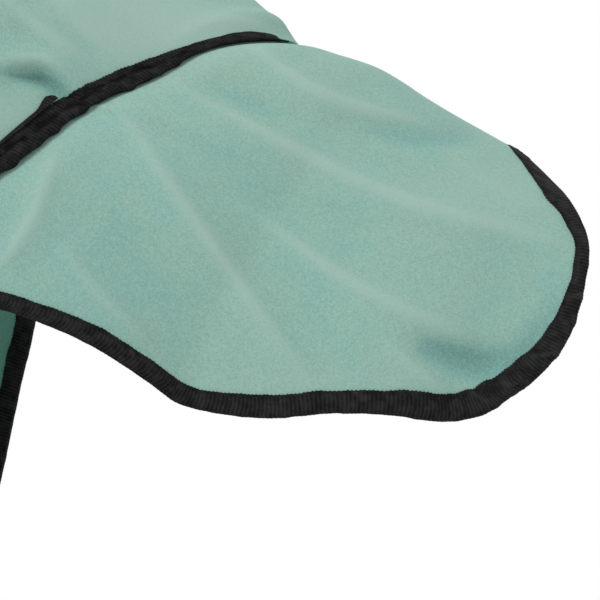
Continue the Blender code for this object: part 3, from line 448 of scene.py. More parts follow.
class Cloth:
    """A panel's middle surface: a grid of places, with normals and tones that hold painted
    highlight and shade.
    """

    def __init__(self, places, normals, tone):
        self.places, self.normals, self.tone = places, normals, tone

    @staticmethod
    def raised(places, normals, rise, tone, inside):
        """A panel raised from a grid by its folds, level across the spine."""
        places = places + normals * rise[..., None]
        normals = outward(places, inside)
        normals[:, 0] = unit(normals[:, 0] * (1, 0, 1))
        return Cloth(places, normals, tone)

    def mirrored(self, side):
        return Cloth(self.places * (1, side, 1), self.normals * (1, side, 1), self.tone)

    @staticmethod
    def sample(field, i, j):
        """Values between rows and columns."""
        i, j = (np.clip(k, 0, size - 1) for k, size in zip((i, j), field.shape))
        a, b = (np.minimum(k.astype(int), size - 2) for k, size in zip((i, j), field.shape))
        s, t = (i - a)[..., None], (j - b)[..., None]
        return ((1 - s) * (1 - t) * field[a, b] + s * (1 - t) * field[a + 1, b]
                + (1 - s) * t * field[a, b + 1] + s * t * field[a + 1, b + 1])

    def at(self, i, j):
        return self.sample(self.places, i, j), unit(self.sample(self.normals, i, j))

    def rows_ahead(self, distance, columns):
        """Fractional rows a distance ahead of the rear edge, by column."""
        reach = lengths(self.places[::-1]).T
        low = np.minimum(columns.astype(int), len(reach) - 2)
        part = (columns - low)[:, None]
        lines = (1 - part) * reach[low] + part * reach[low + 1]
        return len(self.places) - 1 - np.array([index_of(distance, line) for line in lines])


def half_body(near):
    """One half of the body with its folds, y out from the spine."""
    stations = body_stations(ACROSS)
    places = np.stack([smooth_line(column, ALONG) for column in stations.swapaxes(0, 1)], axis=1)
    out, (at, high, width) = places[..., 1], DOCK_SHAPE
    ahead = lengths(places[::-1])[::-1]
    places[..., 2] += high * bell((ahead - at) / width) * (1 - ease(*DOCK_SPAN, out))
    inside = places * (1, 0, 0) + (0, 0, BODY_MIDDLE)
    rise, tone = np.add(fold_rise(places, SIDE_FOLDS, *(() if near else FAR_SIDE)),
                        fold_rise(places, CROUP_FOLDS if near else FAR_CROUP_FOLDS))
    fade = ease(0.0, RIDGE_FADE, out)
    rise = rise * fade - SEAM_DIP * bell(out / SEAM_ROLL)
    # The tone holds painted highlight on crests and paler places, and painted shade in hollows.
    tone = tone * fade + painted_highlight_at(places)
    return Cloth.raised(places, outward(places, inside), rise, tone, inside)


def flap_half(body, near):
    """Half the tail flap from under the body's edge to its rim, y out."""
    levels = np.linspace(0, FLAP_LEVEL, ROOT_STEPS)
    columns = index_of(levels, ACROSS)
    depth = np.interp(levels, (0, TAPE_RUN_OUT[0, 0]), (RIDGE_DEPTH, ROOT_DEPTH))[:, None]
    lap = []
    for distance in (*np.linspace(LAP_WIDTH, BIND_WIDTH, LAP_ROWS // 2)[:-1],
                     *np.linspace(BIND_WIDTH, 0, LAP_ROWS // 2 + 1)):
        places, normals = body.at(body.rows_ahead(distance, columns), columns)
        lap.append(places - normals * depth)
    lap.append(lap[-1] + unit(lap[-1] - lap[LAP_ROWS // 2 - 1]) * ROOT_CLEAR)
    share = np.linspace(0, 1, FLAP_COLUMNS + 1)
    reach = lengths(lap[-1])
    lap = [read_rows(share, reach / reach[-1], row) for row in lap]
    root = lap[-1]
    ridge, hem, end = (even_line(line, np.linspace(0, 1, CURVE_STEPS)) for line in (
        np.vstack([root[0], FLAP_RIDGE + DOCK]), np.vstack([root[-1], FLAP_HEM[::-1] + DOCK]),
        FLAP_END + DOCK))
    end_long, hem_long = lengths(end)[-1], lengths(hem)[-1]
    steps = np.linspace(0, 1, LINE_STEPS)
    columns = []
    for part in share:
        past = part * (end_long + hem_long) - end_long
        to_a, to_b = min(1.0, 1.0 - past / hem_long), min(1.0, 1.0 + past / end_long)
        line = filled(root, end, ridge, hem, steps * to_a, part + steps * (to_b - part))
        if lengths(line)[-1] < 1e-6:
            line = np.repeat(root[-1:], 2, axis=0)
        columns.append(read_line(line, np.linspace(0, 1, FLAP_ROWS + 1)[1:]))
    return folded_flap(np.concatenate([lap, np.swapaxes(columns, 0, 1)]), near)


def filled(root, end, ridge, hem, a, b):
    """A surface between four border curves, level across the ridge."""
    g1, f1 = a[:, None], ease(0, 1, b)[:, None]
    g0, f0 = 1 - g1, 1 - f1
    flat = g0 * (f0 * ridge[0] + f1 * hem[0]) + g1 * (f0 * ridge[-1] + f1 * hem[-1])
    return (g0 * read_line(root, b) + g1 * read_line(end, b)
            + f0 * read_line(ridge, a) + f1 * read_line(hem, a) - flat)


def folded_flap(grid, near):
    """The flap's grid with its folds, faded toward its root, ridge and rim."""
    inside = DOCK + (0.0, 0.0, FLAP_MIDDLE)
    normals = outward(grid, inside)
    normals[:, -1] = normals[:, -2]
    rise, tone = fold_rise(grid, FLAP_FOLDS if near else FAR_FLAP_FOLDS)
    behind, out = lengths(grid), grid[..., 1]
    behind = behind - behind[LAP_ROWS - 1]
    rim, ridge = ease(0, RIM_FADE, lengths(grid[::-1])[::-1]), ease(0, RIDGE_FADE, out)
    root = ease(0, ROOT_FADE, (np.arange(len(grid)) - LAP_ROWS)[:, None] / FLAP_ROWS)
    rise *= (RIM_SHARE + (1 - RIM_SHARE) * rim) * ridge * root
    swell = SWELL * ease(*SWELL_RISES, behind) * (1 - ease(*SWELL_SINKS, behind))
    rise += swell * rim * ease(*SWELL_SPAN, out)
    # The tone holds painted highlight on crests and paler places, and painted shade in hollows.
    flap = Cloth.raised(grid, normals, rise, tone * ridge + painted_highlight_at(grid), inside)
    flap.normals[:, -1] = flap.normals[:, -2]
    return flap


@functools.cache
def panels():
    """The rug's three panels, worked out once."""
    made, flaps = {}, []
    for name, side in (("left_body", -1), ("right_body", 1)):
        half = half_body(side < 0)
        flaps.append(flap_half(half, side < 0).mirrored(side))
        made[name] = half.mirrored(side)
        made[name].places += (0, side * GAP / 2, 0)
    left, right = (vars(flap).values() for flap in flaps)
    made["tail_flap"] = Cloth(*(np.concatenate([ahead[:, ::-1], behind[:, 1:]], axis=1)
                                for ahead, behind in zip(left, right)))
    return made


# ---- meshes
def add_object(name, data):
    thing = bpy.data.objects.new(name, data)
    bpy.context.scene.collection.objects.link(thing)
    return thing


def add_mesh(name, points, faces, material, uv=None, fields=None):
    """An object from points and faces, smooth with its sharp edges kept."""
    mesh = bpy.data.meshes.new(name)
    mesh.from_pydata(np.reshape(points, (-1, 3)).tolist(), [], faces)
    mesh.materials.append(material)
    for field, values in (fields or {}).items():
        layer = mesh.attributes.new(field, "FLOAT", "POINT")
        layer.data.foreach_set("value", np.ravel(values).astype(np.float32))
    if uv is not None:
        corners = np.zeros(len(mesh.loops), np.int32)
        mesh.loops.foreach_get("vertex_index", corners)
        uv = np.reshape(uv, (-1, 2)).astype(np.float32)[corners]
        mesh.uv_layers.new(name="Strip").data.foreach_set("uv", uv.ravel())
    mesh.shade_smooth()
    mesh.set_sharp_from_angle(angle=SHARP)
    mesh.validate()
    return add_object(name, mesh)


def wall(name, upper, lower, material, keep=None, uv=None, fields=None):
    """A closed wall from grids of its two faces."""
    rows, columns = upper.shape[:2]
    count = rows * columns
    index = np.arange(count).reshape(rows, columns)
    quads = np.stack([index[:-1, :-1], index[1:, :-1], index[1:, 1:], index[:-1, 1:]], axis=-1)
    push = np.cross(upper[1:, :-1] - upper[:-1, :-1], upper[:-1, 1:] - upper[:-1, :-1])
    if (push * (upper - lower)[:-1, :-1]).sum() < 0:
        quads = quads[..., ::-1]
    quads = quads[keep] if keep is not None else quads.reshape(-1, 4)
    starts, ends = quads.ravel(), np.roll(quads, -1, axis=1).ravel()
    rim = ~np.isin(starts * count + ends, ends * count + starts)
    a, b = starts[rim], ends[rim]
    sides = np.stack([b, a, a + count, b + count], axis=1)
    faces = np.vstack([quads, quads[:, ::-1] + count, sides]).tolist()
    fields = {key: np.resize(value, 2 * count) for key, value in (fields or {}).items()}
    uv = None if uv is None else [uv, uv]
    return add_mesh(name, [upper, lower], faces, material, uv, fields)


def merged(thing, distance=1e-6):
    """The same object without doubled points and flat faces."""
    work = bmesh.new()
    work.from_mesh(thing.data)
    bmesh.ops.remove_doubles(work, verts=work.verts, dist=distance)
    bmesh.ops.dissolve_degenerate(work, edges=work.edges, dist=distance)
    work.to_mesh(thing.data)
    work.free()
    return thing


def tube(name, rings, material, uv=None, fields=None, closed=False):
    """A solid through equal rings of points."""
    index = np.arange(rings[..., 0].size).reshape(rings.shape[:2])
    after = np.roll(index, -1, axis=1)
    quads = [index, after, np.roll(after, -1, axis=0), np.roll(index, -1, axis=0)]
    faces = np.stack(quads, axis=-1).reshape(-1, 4).tolist()
    if not closed:
        faces = faces[:-rings.shape[1]] + [index[0, ::-1].tolist(), index[-1].tolist()]
    push = np.cross(rings[0, 1] - rings[0, 0], rings[1, 0] - rings[0, 0])
    if np.dot(push, rings[0, 0] - rings[0].mean(axis=0)) < 0:
        faces = [face[::-1] for face in faces]
    return add_mesh(name, rings, faces, material, uv, fields)


# ---- nodes
class Nodes:
    """A node tree to which nodes are added."""

    def __init__(self, tree):
        self.tree = tree

    def node(self, kind, values=None, **settings):
        """A node: its settings first, then its sockets."""
        made = self.tree.nodes.new(kind)
        for key, value in settings.items():
            setattr(made, key, value)
        self.feed(made, values or {})
        return made

    def feed(self, made, values):
        for key, value in values.items():
            source = getattr(value, "socket", value)
            if isinstance(source, bpy.types.NodeSocket):
                self.tree.links.new(source, made.inputs[key])
            else:
                made.inputs[key].default_value = source

    def read(self, kind, output, values=None, **settings):
        return Reading(self, self.node(kind, values, **settings).outputs[output])


def adding(operation, turned=False):
    """A method that adds a Math node for an operator, or for its reflected form."""
    def method(self, other):
        return self.math(operation, *((other, self) if turned else (self, other)))
    return method


class Reading:
    """A value socket on which Python's arithmetic adds Math nodes."""
    __add__, __radd__ = adding("ADD"), adding("ADD", True)
    __sub__, __rsub__ = adding("SUBTRACT"), adding("SUBTRACT", True)
    __mul__, __rmul__ = adding("MULTIPLY"), adding("MULTIPLY", True)
    __pow__, at_least = adding("POWER"), adding("MAXIMUM")

    def __init__(self, nodes, socket):
        self.nodes, self.socket = nodes, socket

    def math(self, operation, *values):
        return self.nodes.read("ShaderNodeMath", 0, dict(enumerate(values)), operation=operation)

    def sine(self):
        return self.math("SINE", self)

    def stripes(self, length):
        return (self * (TURN / length)).sine() * 0.5 + 0.5

    def between(self, low, high):
        """Smoothly from 0 where it is low to 1 where it is high."""
        return self.nodes.read("ShaderNodeMapRange", "Result", {
            "Value": self, "From Min": low, "From Max": high}, interpolation_type="SMOOTHSTEP")


class Paint(Nodes):
    """A material being made: its nodes and the shader that they feed."""

    def __init__(self, name):
        self.material = bpy.data.materials.new(name)
        self.material.use_nodes = True
        super().__init__(self.material.node_tree)
        self.shader = self.tree.nodes["Principled BSDF"]

    def coordinates(self, output="Object"):
        return self.node("ShaderNodeTexCoord").outputs[output]

    def strip(self):
        parts = self.node("ShaderNodeSeparateXYZ", {"Vector": self.coordinates("UV")}).outputs
        return Reading(self, parts["X"]), Reading(self, parts["Y"])

    def noise(self, where, scale, detail=2.0, roughness=0.5):
        return self.read("ShaderNodeTexNoise", "Fac", {
            "Vector": where, "Scale": scale, "Detail": detail, "Roughness": roughness})

    def field(self, name):
        return self.read("ShaderNodeAttribute", "Fac", attribute_name=name)

    def mix(self, factor, first, second):
        values = {"Factor": factor, "A": first, "B": second}
        return self.node("ShaderNodeMix", values, data_type="RGBA").outputs[2]

    def bump(self, height, distance, strength):
        values = {"Height": height, "Distance": distance, "Strength": strength}
        return self.node("ShaderNodeBump", values).outputs["Normal"]

    def finish(self, **sockets):
        """Feed the shader's own sockets."""
        self.feed(self.shader, {key.replace("_", " ").title().replace("Ior", "IOR"): value
                                for key, value in sockets.items()})
        return self.material


def shade(colour, *shares):
    """A colour made lighter or darker, by one share or one for each part."""
    return (*(part * share for part, share in zip(colour, shares * 3)), 1.0)


def fleece_finish(paint, look):
    """Matt fleece: a pebbled nap, mottled, with painted highlight on crests and painted shade in
    hollows and on the inner face.
    """
    where, base = paint.coordinates(), tuple(look.fleece)
    # The paler colour is a painted highlight for crests; the two darker ones are painted shade for
    # hollows and for the inner face.
    cool, crest_highlight = shade(base, 0.78, 0.945, 1.03), shade(base, 1.25, 1.10, 1.14)
    hollow_shade, inner_shade = shade(base, 0.50, 0.66, 0.70), shade(base, 0.10, 0.52, 0.46)
    cloud, patch = paint.noise(where, 11.0, 3.0, 0.55), paint.noise(where, 55.0, 3.0, 0.6)
    pebble, pills, fibre = (paint.noise(where, fine / look.nap, 2.0, rough)
                            for fine, rough in ((1.0, 0.6), (0.45, 0.5), (2.6, 0.6)))
    fold = paint.field("tone")
    # The fold tone's crests take painted highlight and its hollows painted shade.
    crest, hollow = fold.between(-0.10, 1.30), (0.0 - fold).between(0.0, 1.10)
    mottled = (0.6 * cloud + 0.4 * patch).between(0.42, 0.62) * 0.45
    grain = 0.55 * pebble + 0.25 * pills + 0.20 * fibre
    rough = (0.32 + 0.26 * hollow) * (1.0 - 0.65 * crest)
    tone = shade(base, 1)
    for factor, colour in (
            (mottled, cool),
            # Painted highlight on crests and paler places.
            (crest * (0.62 + 0.4 * patch), crest_highlight),
            # Painted shade in hollows: bluer, then darker.
            ((0.0 - fold).between(0.0, 0.45) * 0.80, cool),
            (hollow * 0.85, hollow_shade),
            (grain.between(0.52, 0.38) * rough, shade(base, 0.58)),
            (grain.between(0.49, 0.62) * rough * (0.85 - 0.45 * hollow), shade(base, 1.40)),
            # Painted shade on the inner face.
            (paint.field("inner") * 0.48, inner_shade)):
        tone = paint.mix(factor, tone, colour)
    nap = paint.bump(0.55 * pebble + 0.30 * pills + 0.15 * fibre, look.nap * 0.6, 0.55)
    return paint.finish(base_color=tone, roughness=0.90 + 0.10 * pebble, normal=nap,
                        specular_ior_level=0.12, sheen_weight=0.16, sheen_roughness=0.45,
                        sheen_tint=(0.86, 0.95, 0.91, 1.0))


def tape_finish(paint, look):
    """Black ribbed tape: thread grain across the ribs, lint and a slight lustre, with painted
    highlight on rib crests and raised creases, and painted shade in sunk creases and near the woven
    edge.
    """
    run, across = paint.strip()
    where = paint.coordinates()
    rib, crease = paint.field("rib"), paint.field("crease")
    lint, wear = paint.noise(where, 420.0, 3.0, 0.6), paint.noise(where, 120.0)
    dark, light = shade(look.tape, 0.06), shade(look.tape, 4.2)
    # Rib crests are painted lighter as a painted highlight, less so near the woven edge, which is
    # left darker as painted shade.
    ribbed = rib ** 1.6 * (1.0 - 0.6 * (across * (1 / BIND_WIDTH)).between(0.66, 0.90))
    tone = paint.mix(0.50 * ribbed + 0.20 * lint + 0.30 * wear.between(0.40, 0.64), dark, light)
    tone = paint.mix(lint.between(0.58, 0.74) * 0.35, tone, shade(look.tape, 6.5))
    # Painted shade in sunk creases.
    tone = paint.mix((0.0 - crease).between(0.10, 1.2) * 0.85, tone, dark)
    # Painted highlight on raised creases, flecked with lint.
    tone = paint.mix(crease.between(0.2, 1.2) * (0.35 + 0.40 * lint), tone, shade(look.tape, 5.2))
    height = 0.45 * across.stripes(0.0006) + 0.25 * run.stripes(0.0008) + 0.30 * lint
    return paint.finish(base_color=tone, roughness=0.60 + 0.22 * wear, specular_ior_level=0.08,
                        normal=paint.bump(height, 0.00016, 0.7))


def webbing_finish(paint, look):
    """Black webbing: a herringbone weave."""
    run, across = paint.strip()
    lean = (across * (TURN / 0.0062)).sine() * 1.6
    weft = (run * (TURN / 0.0017) + lean).sine() * 0.5 + 0.5
    lint = paint.noise(paint.coordinates(), 240.0, 3.0, 0.6)
    weave = weft * 0.6 + across.stripes(0.0013) * 0.4
    tone = paint.mix(0.7 * weave + 0.3 * lint, shade(look.tape, 0.55), shade(look.tape, 1.9))
    return paint.finish(base_color=tone, roughness=0.60 + 0.18 * lint, specular_ior_level=0.25,
                        normal=paint.bump(weave, 0.00035, 0.9))


def thread_finish(paint, look):
    """Black polyester thread, twisted."""
    grain = paint.noise(paint.coordinates(), 2600.0)
    tone = paint.mix(grain, shade(look.tape, 0.4), shade(look.tape, 1.6))
    return paint.finish(base_color=tone, roughness=0.66 + 0.12 * grain, specular_ior_level=0.14,
                        normal=paint.bump(grain, 0.00008, 0.6))


def steel_finish(paint, look):
    """Bright steel rod with fine scratches and duller patches."""
    where = paint.coordinates()
    drawn = paint.node("ShaderNodeMapping", {"Vector": where, "Scale": (900.0, 60.0, 900.0)})
    scratch = paint.noise(drawn.outputs["Vector"], 1.0, 3.0, 0.6)
    patch = paint.noise(where, 90.0, 3.0, 0.5)
    tone = paint.mix(patch, shade(look.steel, 0.86), shade(look.steel, 1.06))
    return paint.finish(base_color=tone, roughness=0.20 + 0.14 * patch + 0.08 * scratch,
                        metallic=1.0, normal=paint.bump(scratch, 0.00004, 0.5))


FINISHES = {"fleece": fleece_finish, "tape": tape_finish, "webbing": webbing_finish,
            "thread": thread_finish, "steel": steel_finish}


def finish_of(name):
    """A finish by name, made once."""
    made = bpy.data.materials.get("rug_" + name)
    return made or FINISHES[name](Paint("rug_" + name), bpy.context.scene.rug_colours)


# ---- panels and bindings
def place(thing, slot, *nodes):
    """Ride the one body, in place of solids, which are hidden."""
    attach(thing, "root")
    if nodes:
        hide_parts(*nodes)
    return thing


def make_panel(name):
    """A wall of fleece; its finish reads its tone, which holds painted highlight and shade, and
    which face is the inner one, which it paints in shade.
    """
    cloth = panels()[name]
    half = cloth.normals * CLOTH / 2
    # inner is 1 on the inner face, which the finish paints in shade.
    fields = {"tone": cloth.tone, "inner": np.repeat((0.0, 1.0), cloth.tone.size)}
    piece = wall(name + "_fleece", cloth.places + half, cloth.places - half,
                 finish_of("fleece"), fields=fields)
    if name == "tail_flap":
        merged(piece)
    return place(piece, "fleece", name)


def evened(values, over=EVEN_OVER):
    """Values along a line, each the mean of its neighbours."""
    return np.convolve(np.pad(values, over // 2, "edge"), np.ones(over) / over, "valid")


def pairs(i, j):
    return np.column_stack(np.broadcast_arrays(i, j))


class TapePath:
    """The run of a folded tape, from rim and root indices in a panel's grid."""

    def __init__(self, cloth, rim, root, widths):
        self.cloth = cloth
        table = np.column_stack([rim, root, widths]).astype(float)
        reach = lengths(cloth.at(*table[:, :2].T)[0])
        self.long = reach[-1]
        sizes = bpy.context.scene.rug_sizes
        step = sizes.rib_pitch / RIB_STEPS
        self.run = np.arange(0, self.long, step)
        table = read_rows(self.run, reach, table)
        self.rim, self.root, self.widths = table[:, 0:2], table[:, 2:4], table[:, 4]
        self.rib = 0.5 + 0.5 * np.cos(TURN * self.run / sizes.rib_pitch)
        self.ribs, self.teeth = sizes.rib_depth * np.array([self.rib, (self.rib - 0.5) * TEETH])
        edge, inner = self.point(0.0), self.point(1.0)
        along, inward = unit(np.gradient(edge, axis=0)), inner - edge
        square = np.linalg.norm(inward - along * (inward * along).sum(1, keepdims=True), axis=1)
        self.slant = evened(np.clip(BIND_WIDTH / square, 1, SLANT_MOST))
        spread = np.linalg.norm(np.gradient(inner, axis=0), axis=1) / step
        slice_long = np.linalg.norm(self.point(1 + ROOT_SLICE) - self.point(1 - ROOT_SLICE), axis=1)
        self.squeeze = (evened(np.clip(spread, BUNCHED, 1)) * 2 * ROOT_SLICE * BIND_WIDTH
                        / evened(np.maximum(slice_long, ROOT_SLICE * BIND_WIDTH)))

    def point(self, across, lift=0.0):
        """Places across the tape (0 at the rim, 1 at the root), lifted."""
        index = self.rim + (self.root - self.rim) * np.reshape(across, (-1, 1))
        places, normals = self.cloth.at(*index.T)
        return places + normals * np.reshape(lift, (-1, 1))

    def strip(self, name, rings, across, **fields):
        """A closed tape through lines of places, mapped by its length and width."""
        rings = np.array(rings).transpose(1, 0, 2)
        uv = np.stack(np.broadcast_arrays(self.run[:, None], across), axis=-1)
        # The rib field drives the finish's painted highlight on rib crests.
        fields["rib"] = np.repeat(self.rib[:, None], len(across), axis=1)
        return tube(name, rings, finish_of("tape"), uv, fields)


def tape_mesh(name, path, puckers, roll):
    """A ribbed tape folded over an edge, as one closed strip, and its stitch rows."""
    run, ribs = path.run, path.ribs
    reach = waves(run, EDGE_WAVES) + path.teeth
    reach = path.slant * path.widths * (1 + reach * path.squeeze / BIND_WIDTH)
    full = ease(*THICK_OVER, path.widths)
    inside = CLOTH / 2 + TAPE_GAP - (1 - full) * TIP_SINK
    rim, rim_up = path.cloth.at(*path.rim.T)
    out = unit(rim - path.point(0.25))
    swing = GROOVE_AT + waves(run, GROOVE_SWINGS)

    def crease(across, face):
        """How far the tape stands up from its even face."""
        aside = across * BIND_WIDTH
        pucker = sum(rise * bell((run - at - lean * aside) / width)
                     for at, lean, width, rise in puckers)
        crumple = sum(waves(run + slant * aside, [wave]) for slant, *wave in CRUMPLE)
        groove = GROOVE * roll * bell((across - swing) / GROOVE_WIDTH) * (face > 0)
        creased = pucker + crumple * (1 + ROLL_CRUMPLE * roll)
        return creased * ease(*CREASE_OVER, across) - groove

    def outer(across, lift, face):
        """A line of the outer face: places, how far across, creases."""
        ribbed = ribs * (EDGE_RIB + (1 - EDGE_RIB) * ease(*RIB_OVER, across))
        high = inside + full * (TAPE * lift + ribbed + crease(across, face))
        places = path.point(across * reach, face * np.maximum(high, inside))
        return places, face * across * BIND_WIDTH, crease(across, face)

    def inner(across, face):
        places = path.point(across * reach, face * (inside - INNER_CLEAR))
        return places, face * across * BIND_WIDTH, 0 * run

    bulge = BULGE * roll * np.maximum(BULGE_LEVEL + waves(run, BULGES), 0)
    depth = (TAPE_GAP + TAPE + ribs) * (TIP_RIM + (1 - TIP_RIM) * full) + bulge
    depth = np.maximum(depth + RIM_CREASE * crease(0.0, -1) * full, RIM_LEAST)
    high = inside + (TAPE + ribs) * full

    def folded(turn):
        places = rim + out * (depth * math.cos(turn))[:, None]
        return (places + rim_up * (high * math.sin(turn))[:, None], -RIM_ACROSS * math.cos(turn),
                crease(0.0, -1))

    lines = ([outer(*row, 1) for row in TAPE_FACE] + [folded(turn) for turn in RIM_TURNS]
             + [outer(*row, -1) for row in TAPE_BACK] + [inner(*row) for row in TAPE_INNER])
    rings, across, creases = zip(*lines)
    # The crease field drives the finish's painted highlight on rises and painted shade in falls.
    piece = path.strip(name, rings, across, crease=np.transpose(creases) / CREASE_FULL)
    high = inside + TAPE * STITCH_LIFT * full + 0.5 * ribs
    rows = [path.point(STITCH_ACROSS * reach, face * high) for face in (1, -1)]
    return piece, [row[path.widths > STITCHED_FROM] for row in rows]


def body_path(name):
    """The tape's run round one half: the front, the hem and the rear edge."""
    cloth = panels()[name + "_body"]
    rows, columns = cloth.tone.shape
    along, down = lengths(cloth.places).T, lengths(cloth.places.swapaxes(0, 1)).T
    front = [index_of(BIND_WIDTH, line) for line in along]
    rear, low = ([index_of(line[-1] - BIND_WIDTH, line) for line in lines]
                 for lines in (along, down))
    start = int(index_of(TAPE_RUN_OUT[0, 0], ACROSS))
    run = [((0, j), (front[j], min(j, low[0]))) for j in range(columns)]
    run += [((i, columns - 1), (np.clip(i, front[-1], rear[-1]), low[i])) for i in range(1, rows)]
    run += [((rows - 1, j), (rear[j], min(j, low[-1]))) for j in range(columns - 2, start - 1, -1)]
    rim, root = zip(*run)
    widths = [np.interp(ACROSS[j], *TAPE_RUN_OUT.T) if i == rows - 1 else 1.0 for i, j in rim]
    return TapePath(cloth, rim, root, widths)


def flap_path():
    """The tape's run round the flap: near hem, end and far hem."""
    cloth = panels()["tail_flap"]
    rows, columns = cloth.tone.shape
    used = np.arange(RIM_SKIP, columns - RIM_SKIP)
    edge = cloth.places[-1, used]
    inward = unit(np.cross(cloth.normals[-1, used], unit(np.gradient(edge, axis=0))))
    middle = cloth.places[rows // 2, columns // 2]
    target = edge + inward * np.sign((inward * (middle - edge)).sum()) * BIND_WIDTH
    i, j = np.full(len(used), rows - 5.0), used.astype(float)
    slopes = np.gradient(cloth.places, axis=(0, 1))
    for _ in range(ROOT_TRIES):
        miss = target - cloth.at(i, j)[0]
        down, along = (cloth.sample(slope, i, j) for slope in slopes)
        ii, jj, ij, mi, mj = ((a * b).sum(1) for a, b in (
            (down, down), (along, along), (down, along), (miss, down), (miss, along)))
        scale = np.maximum(ii * jj - ij**2, 1e-16)
        down, along = (np.clip(step / scale, -ROOT_STRIDE, ROOT_STRIDE)
                       for step in (jj * mi - ij * mj, ii * mj - ij * mi))
        i = np.clip(i + down, LAP_ROWS - 2, rows - 1.5)
        j = np.clip(j + along, 0, columns - 1)
    root = pairs(evened(i, ROOT_CALM), evened(j - used, ROOT_CALM) + used)
    reach = lengths(edge)
    widths = np.interp(np.abs(reach - reach[len(reach) // 2]), *RIDGE_NARROW.T)
    return TapePath(cloth, pairs(rows - 1.0, used), root, widths)


def make_tape_end():
    """The ribbed end of a second tape, folded back, beside the left binding."""
    cloth = panels()["left_body"]
    columns = index_of(np.linspace(*TAPE_END_LEVELS, TAPE_END_STEPS), ACROSS)
    path = TapePath(cloth, pairs(len(cloth.places) - 1.0, columns),
                    pairs(cloth.rows_ahead(BIND_WIDTH, columns), columns), np.ones(TAPE_END_STEPS))
    left, part = path.long - path.run, path.run / path.long
    width = TAPE_END_NARROW + sum(more * ease(*over, part) for more, *over in TAPE_END_WIDENS)
    width = width * TAPE_END_WIDTH / BIND_WIDTH + 1 - TAPE_END_LAP
    tip = np.sqrt(np.clip(left / TAPE_END_ROUND, 0.02, 1))
    curl = TAPE_END_CURL * (1 - ease(0.0, TAPE_END_CURLS, left))
    rings = []
    for share, lift in TAPE_END_PROFILE:
        across = TAPE_END_LAP + width * share * tip
        rest = np.where(across < 1.03, TAPE_GAP + TAPE * 0.95, 0.0) * (1 - ease(0.10, 0.45, share))
        ribbed = path.ribs * TAPE_END_RIBS * (lift > 0.5)
        high = CLOTH / 2 + GAP + rest + TAPE * lift + ribbed + curl * (0.4 + share)
        rings.append(path.point(path.slant * across, high))
    shares = [share * TAPE_END_WIDTH for share, _ in TAPE_END_PROFILE]
    piece = place(path.strip("left_tape_end_strip", rings, shares), "tape", "left_tape_end")


# ---- chest fastening
class ChestFrame:
    """Places round the chest: s along the strap to the left, w up, n out."""

    def __init__(self):
        reaches = np.linspace(0.0, CHEST_REACH, CHEST_STEPS)
        stations = body_stations([STRAP_LEVEL, STRAP_LEVEL - CHEST_RISE])
        half, above = (smooth_line(stations[:, k], reaches) for k in (0, 1))
        self.path = np.vstack([half[::-1], half * (1, -1, 1)])
        reach = lengths(self.path)
        self.reach = reach - reach[-1] / 2
        self.up = unit((above - half).mean(axis=0) * (1, 0, 1))

    def centre(self, s):
        return read_rows(s, self.reach, self.path)

    def axes(self, s):
        along = unit(self.centre(s + TANGENT_STEP) - self.centre(s - TANGENT_STEP))
        return along, unit(np.cross(along, self.up))

    def at(self, s, w, n):
        """A place; between the buckle's bars the frame is straight."""
        middle = (HEEL_BAR + FRONT_BAR) / 2
        flat = np.clip(s, FRONT_BAR - BUCKLE_RUN, HEEL_BAR + BUCKLE_RUN)
        along, out = self.axes(middle)
        tangent = self.centre(middle) + along * (flat - middle)
        if s == flat:
            return tangent + self.up * w + out * n
        drop = np.dot(tangent - self.centre(flat), out)
        fade = max(0.0, 1.0 - abs(s - flat) / STRAIGHT_FADE)
        return self.centre(s) + self.up * w + self.axes(s)[1] * (n + drop * fade)


def round_box(half_u, half_v, radius, steps):
    """Places and outward ways round a box with rounded corners."""
    for side_u, side_v, start in ((1, 1, 0), (-1, 1, 90), (-1, -1, 180), (1, -1, 270)):
        for turn in np.radians(np.linspace(start, start + 90, steps)):
            u, v = math.cos(turn), math.sin(turn)
            yield (side_u * (half_u - radius) + radius * u,
                   side_v * (half_v - radius) + radius * v, u, v)


def round_heel(radius, start, end, steps):
    """(s, n) places on a turn round the heel bar."""
    return [(HEEL_BAR + radius * math.cos(turn), BAR_HEIGHT + radius * math.sin(turn))
            for turn in np.radians(np.linspace(start, end, steps))]


def strap_path():
    """The chest strap's (s, n) places, its three levels and the tab's loop."""
    rest = CLOTH / 2 + TAPE_GAP + TAPE + CHEST_LIFT + WEB / 2
    bar = BAR_RADIUS + GAP
    loop = bar + WEB / 2
    over = BAR_HEIGHT + max(loop + WEB / 2, bar + 2 * PRONG_RADIUS) + GAP + WEB / 2
    on_tab = rest + 2 * (WEB + GAP)
    sewn = CLOTH / 2 + GAP + WEB / 2
    level = np.linspace(STRAP_START + STRAP_RISEN, FRONT_BAR + STRAP_UNDER, 6)
    strap = [(STRAP_START + reach, sewn) for reach in np.linspace(0, STRAP_SEWN, 3)]
    strap += [(s, rest) for s in level]
    strap += [(FRONT_BAR + past, rest + rise) for past, rise in STRAP_RISE]
    strap += [(HEEL_BAR + past, over - fall) for past, fall in STRAP_CREST]
    strap += [(HEEL_BAR + past, on_tab + rise) for past, rise in STRAP_FALL]
    strap += [(s, on_tab) for s in np.linspace(HEEL_BAR + STRAP_TAIL, STRAP_END, 4)]
    return strap, rest, on_tab, sewn, loop


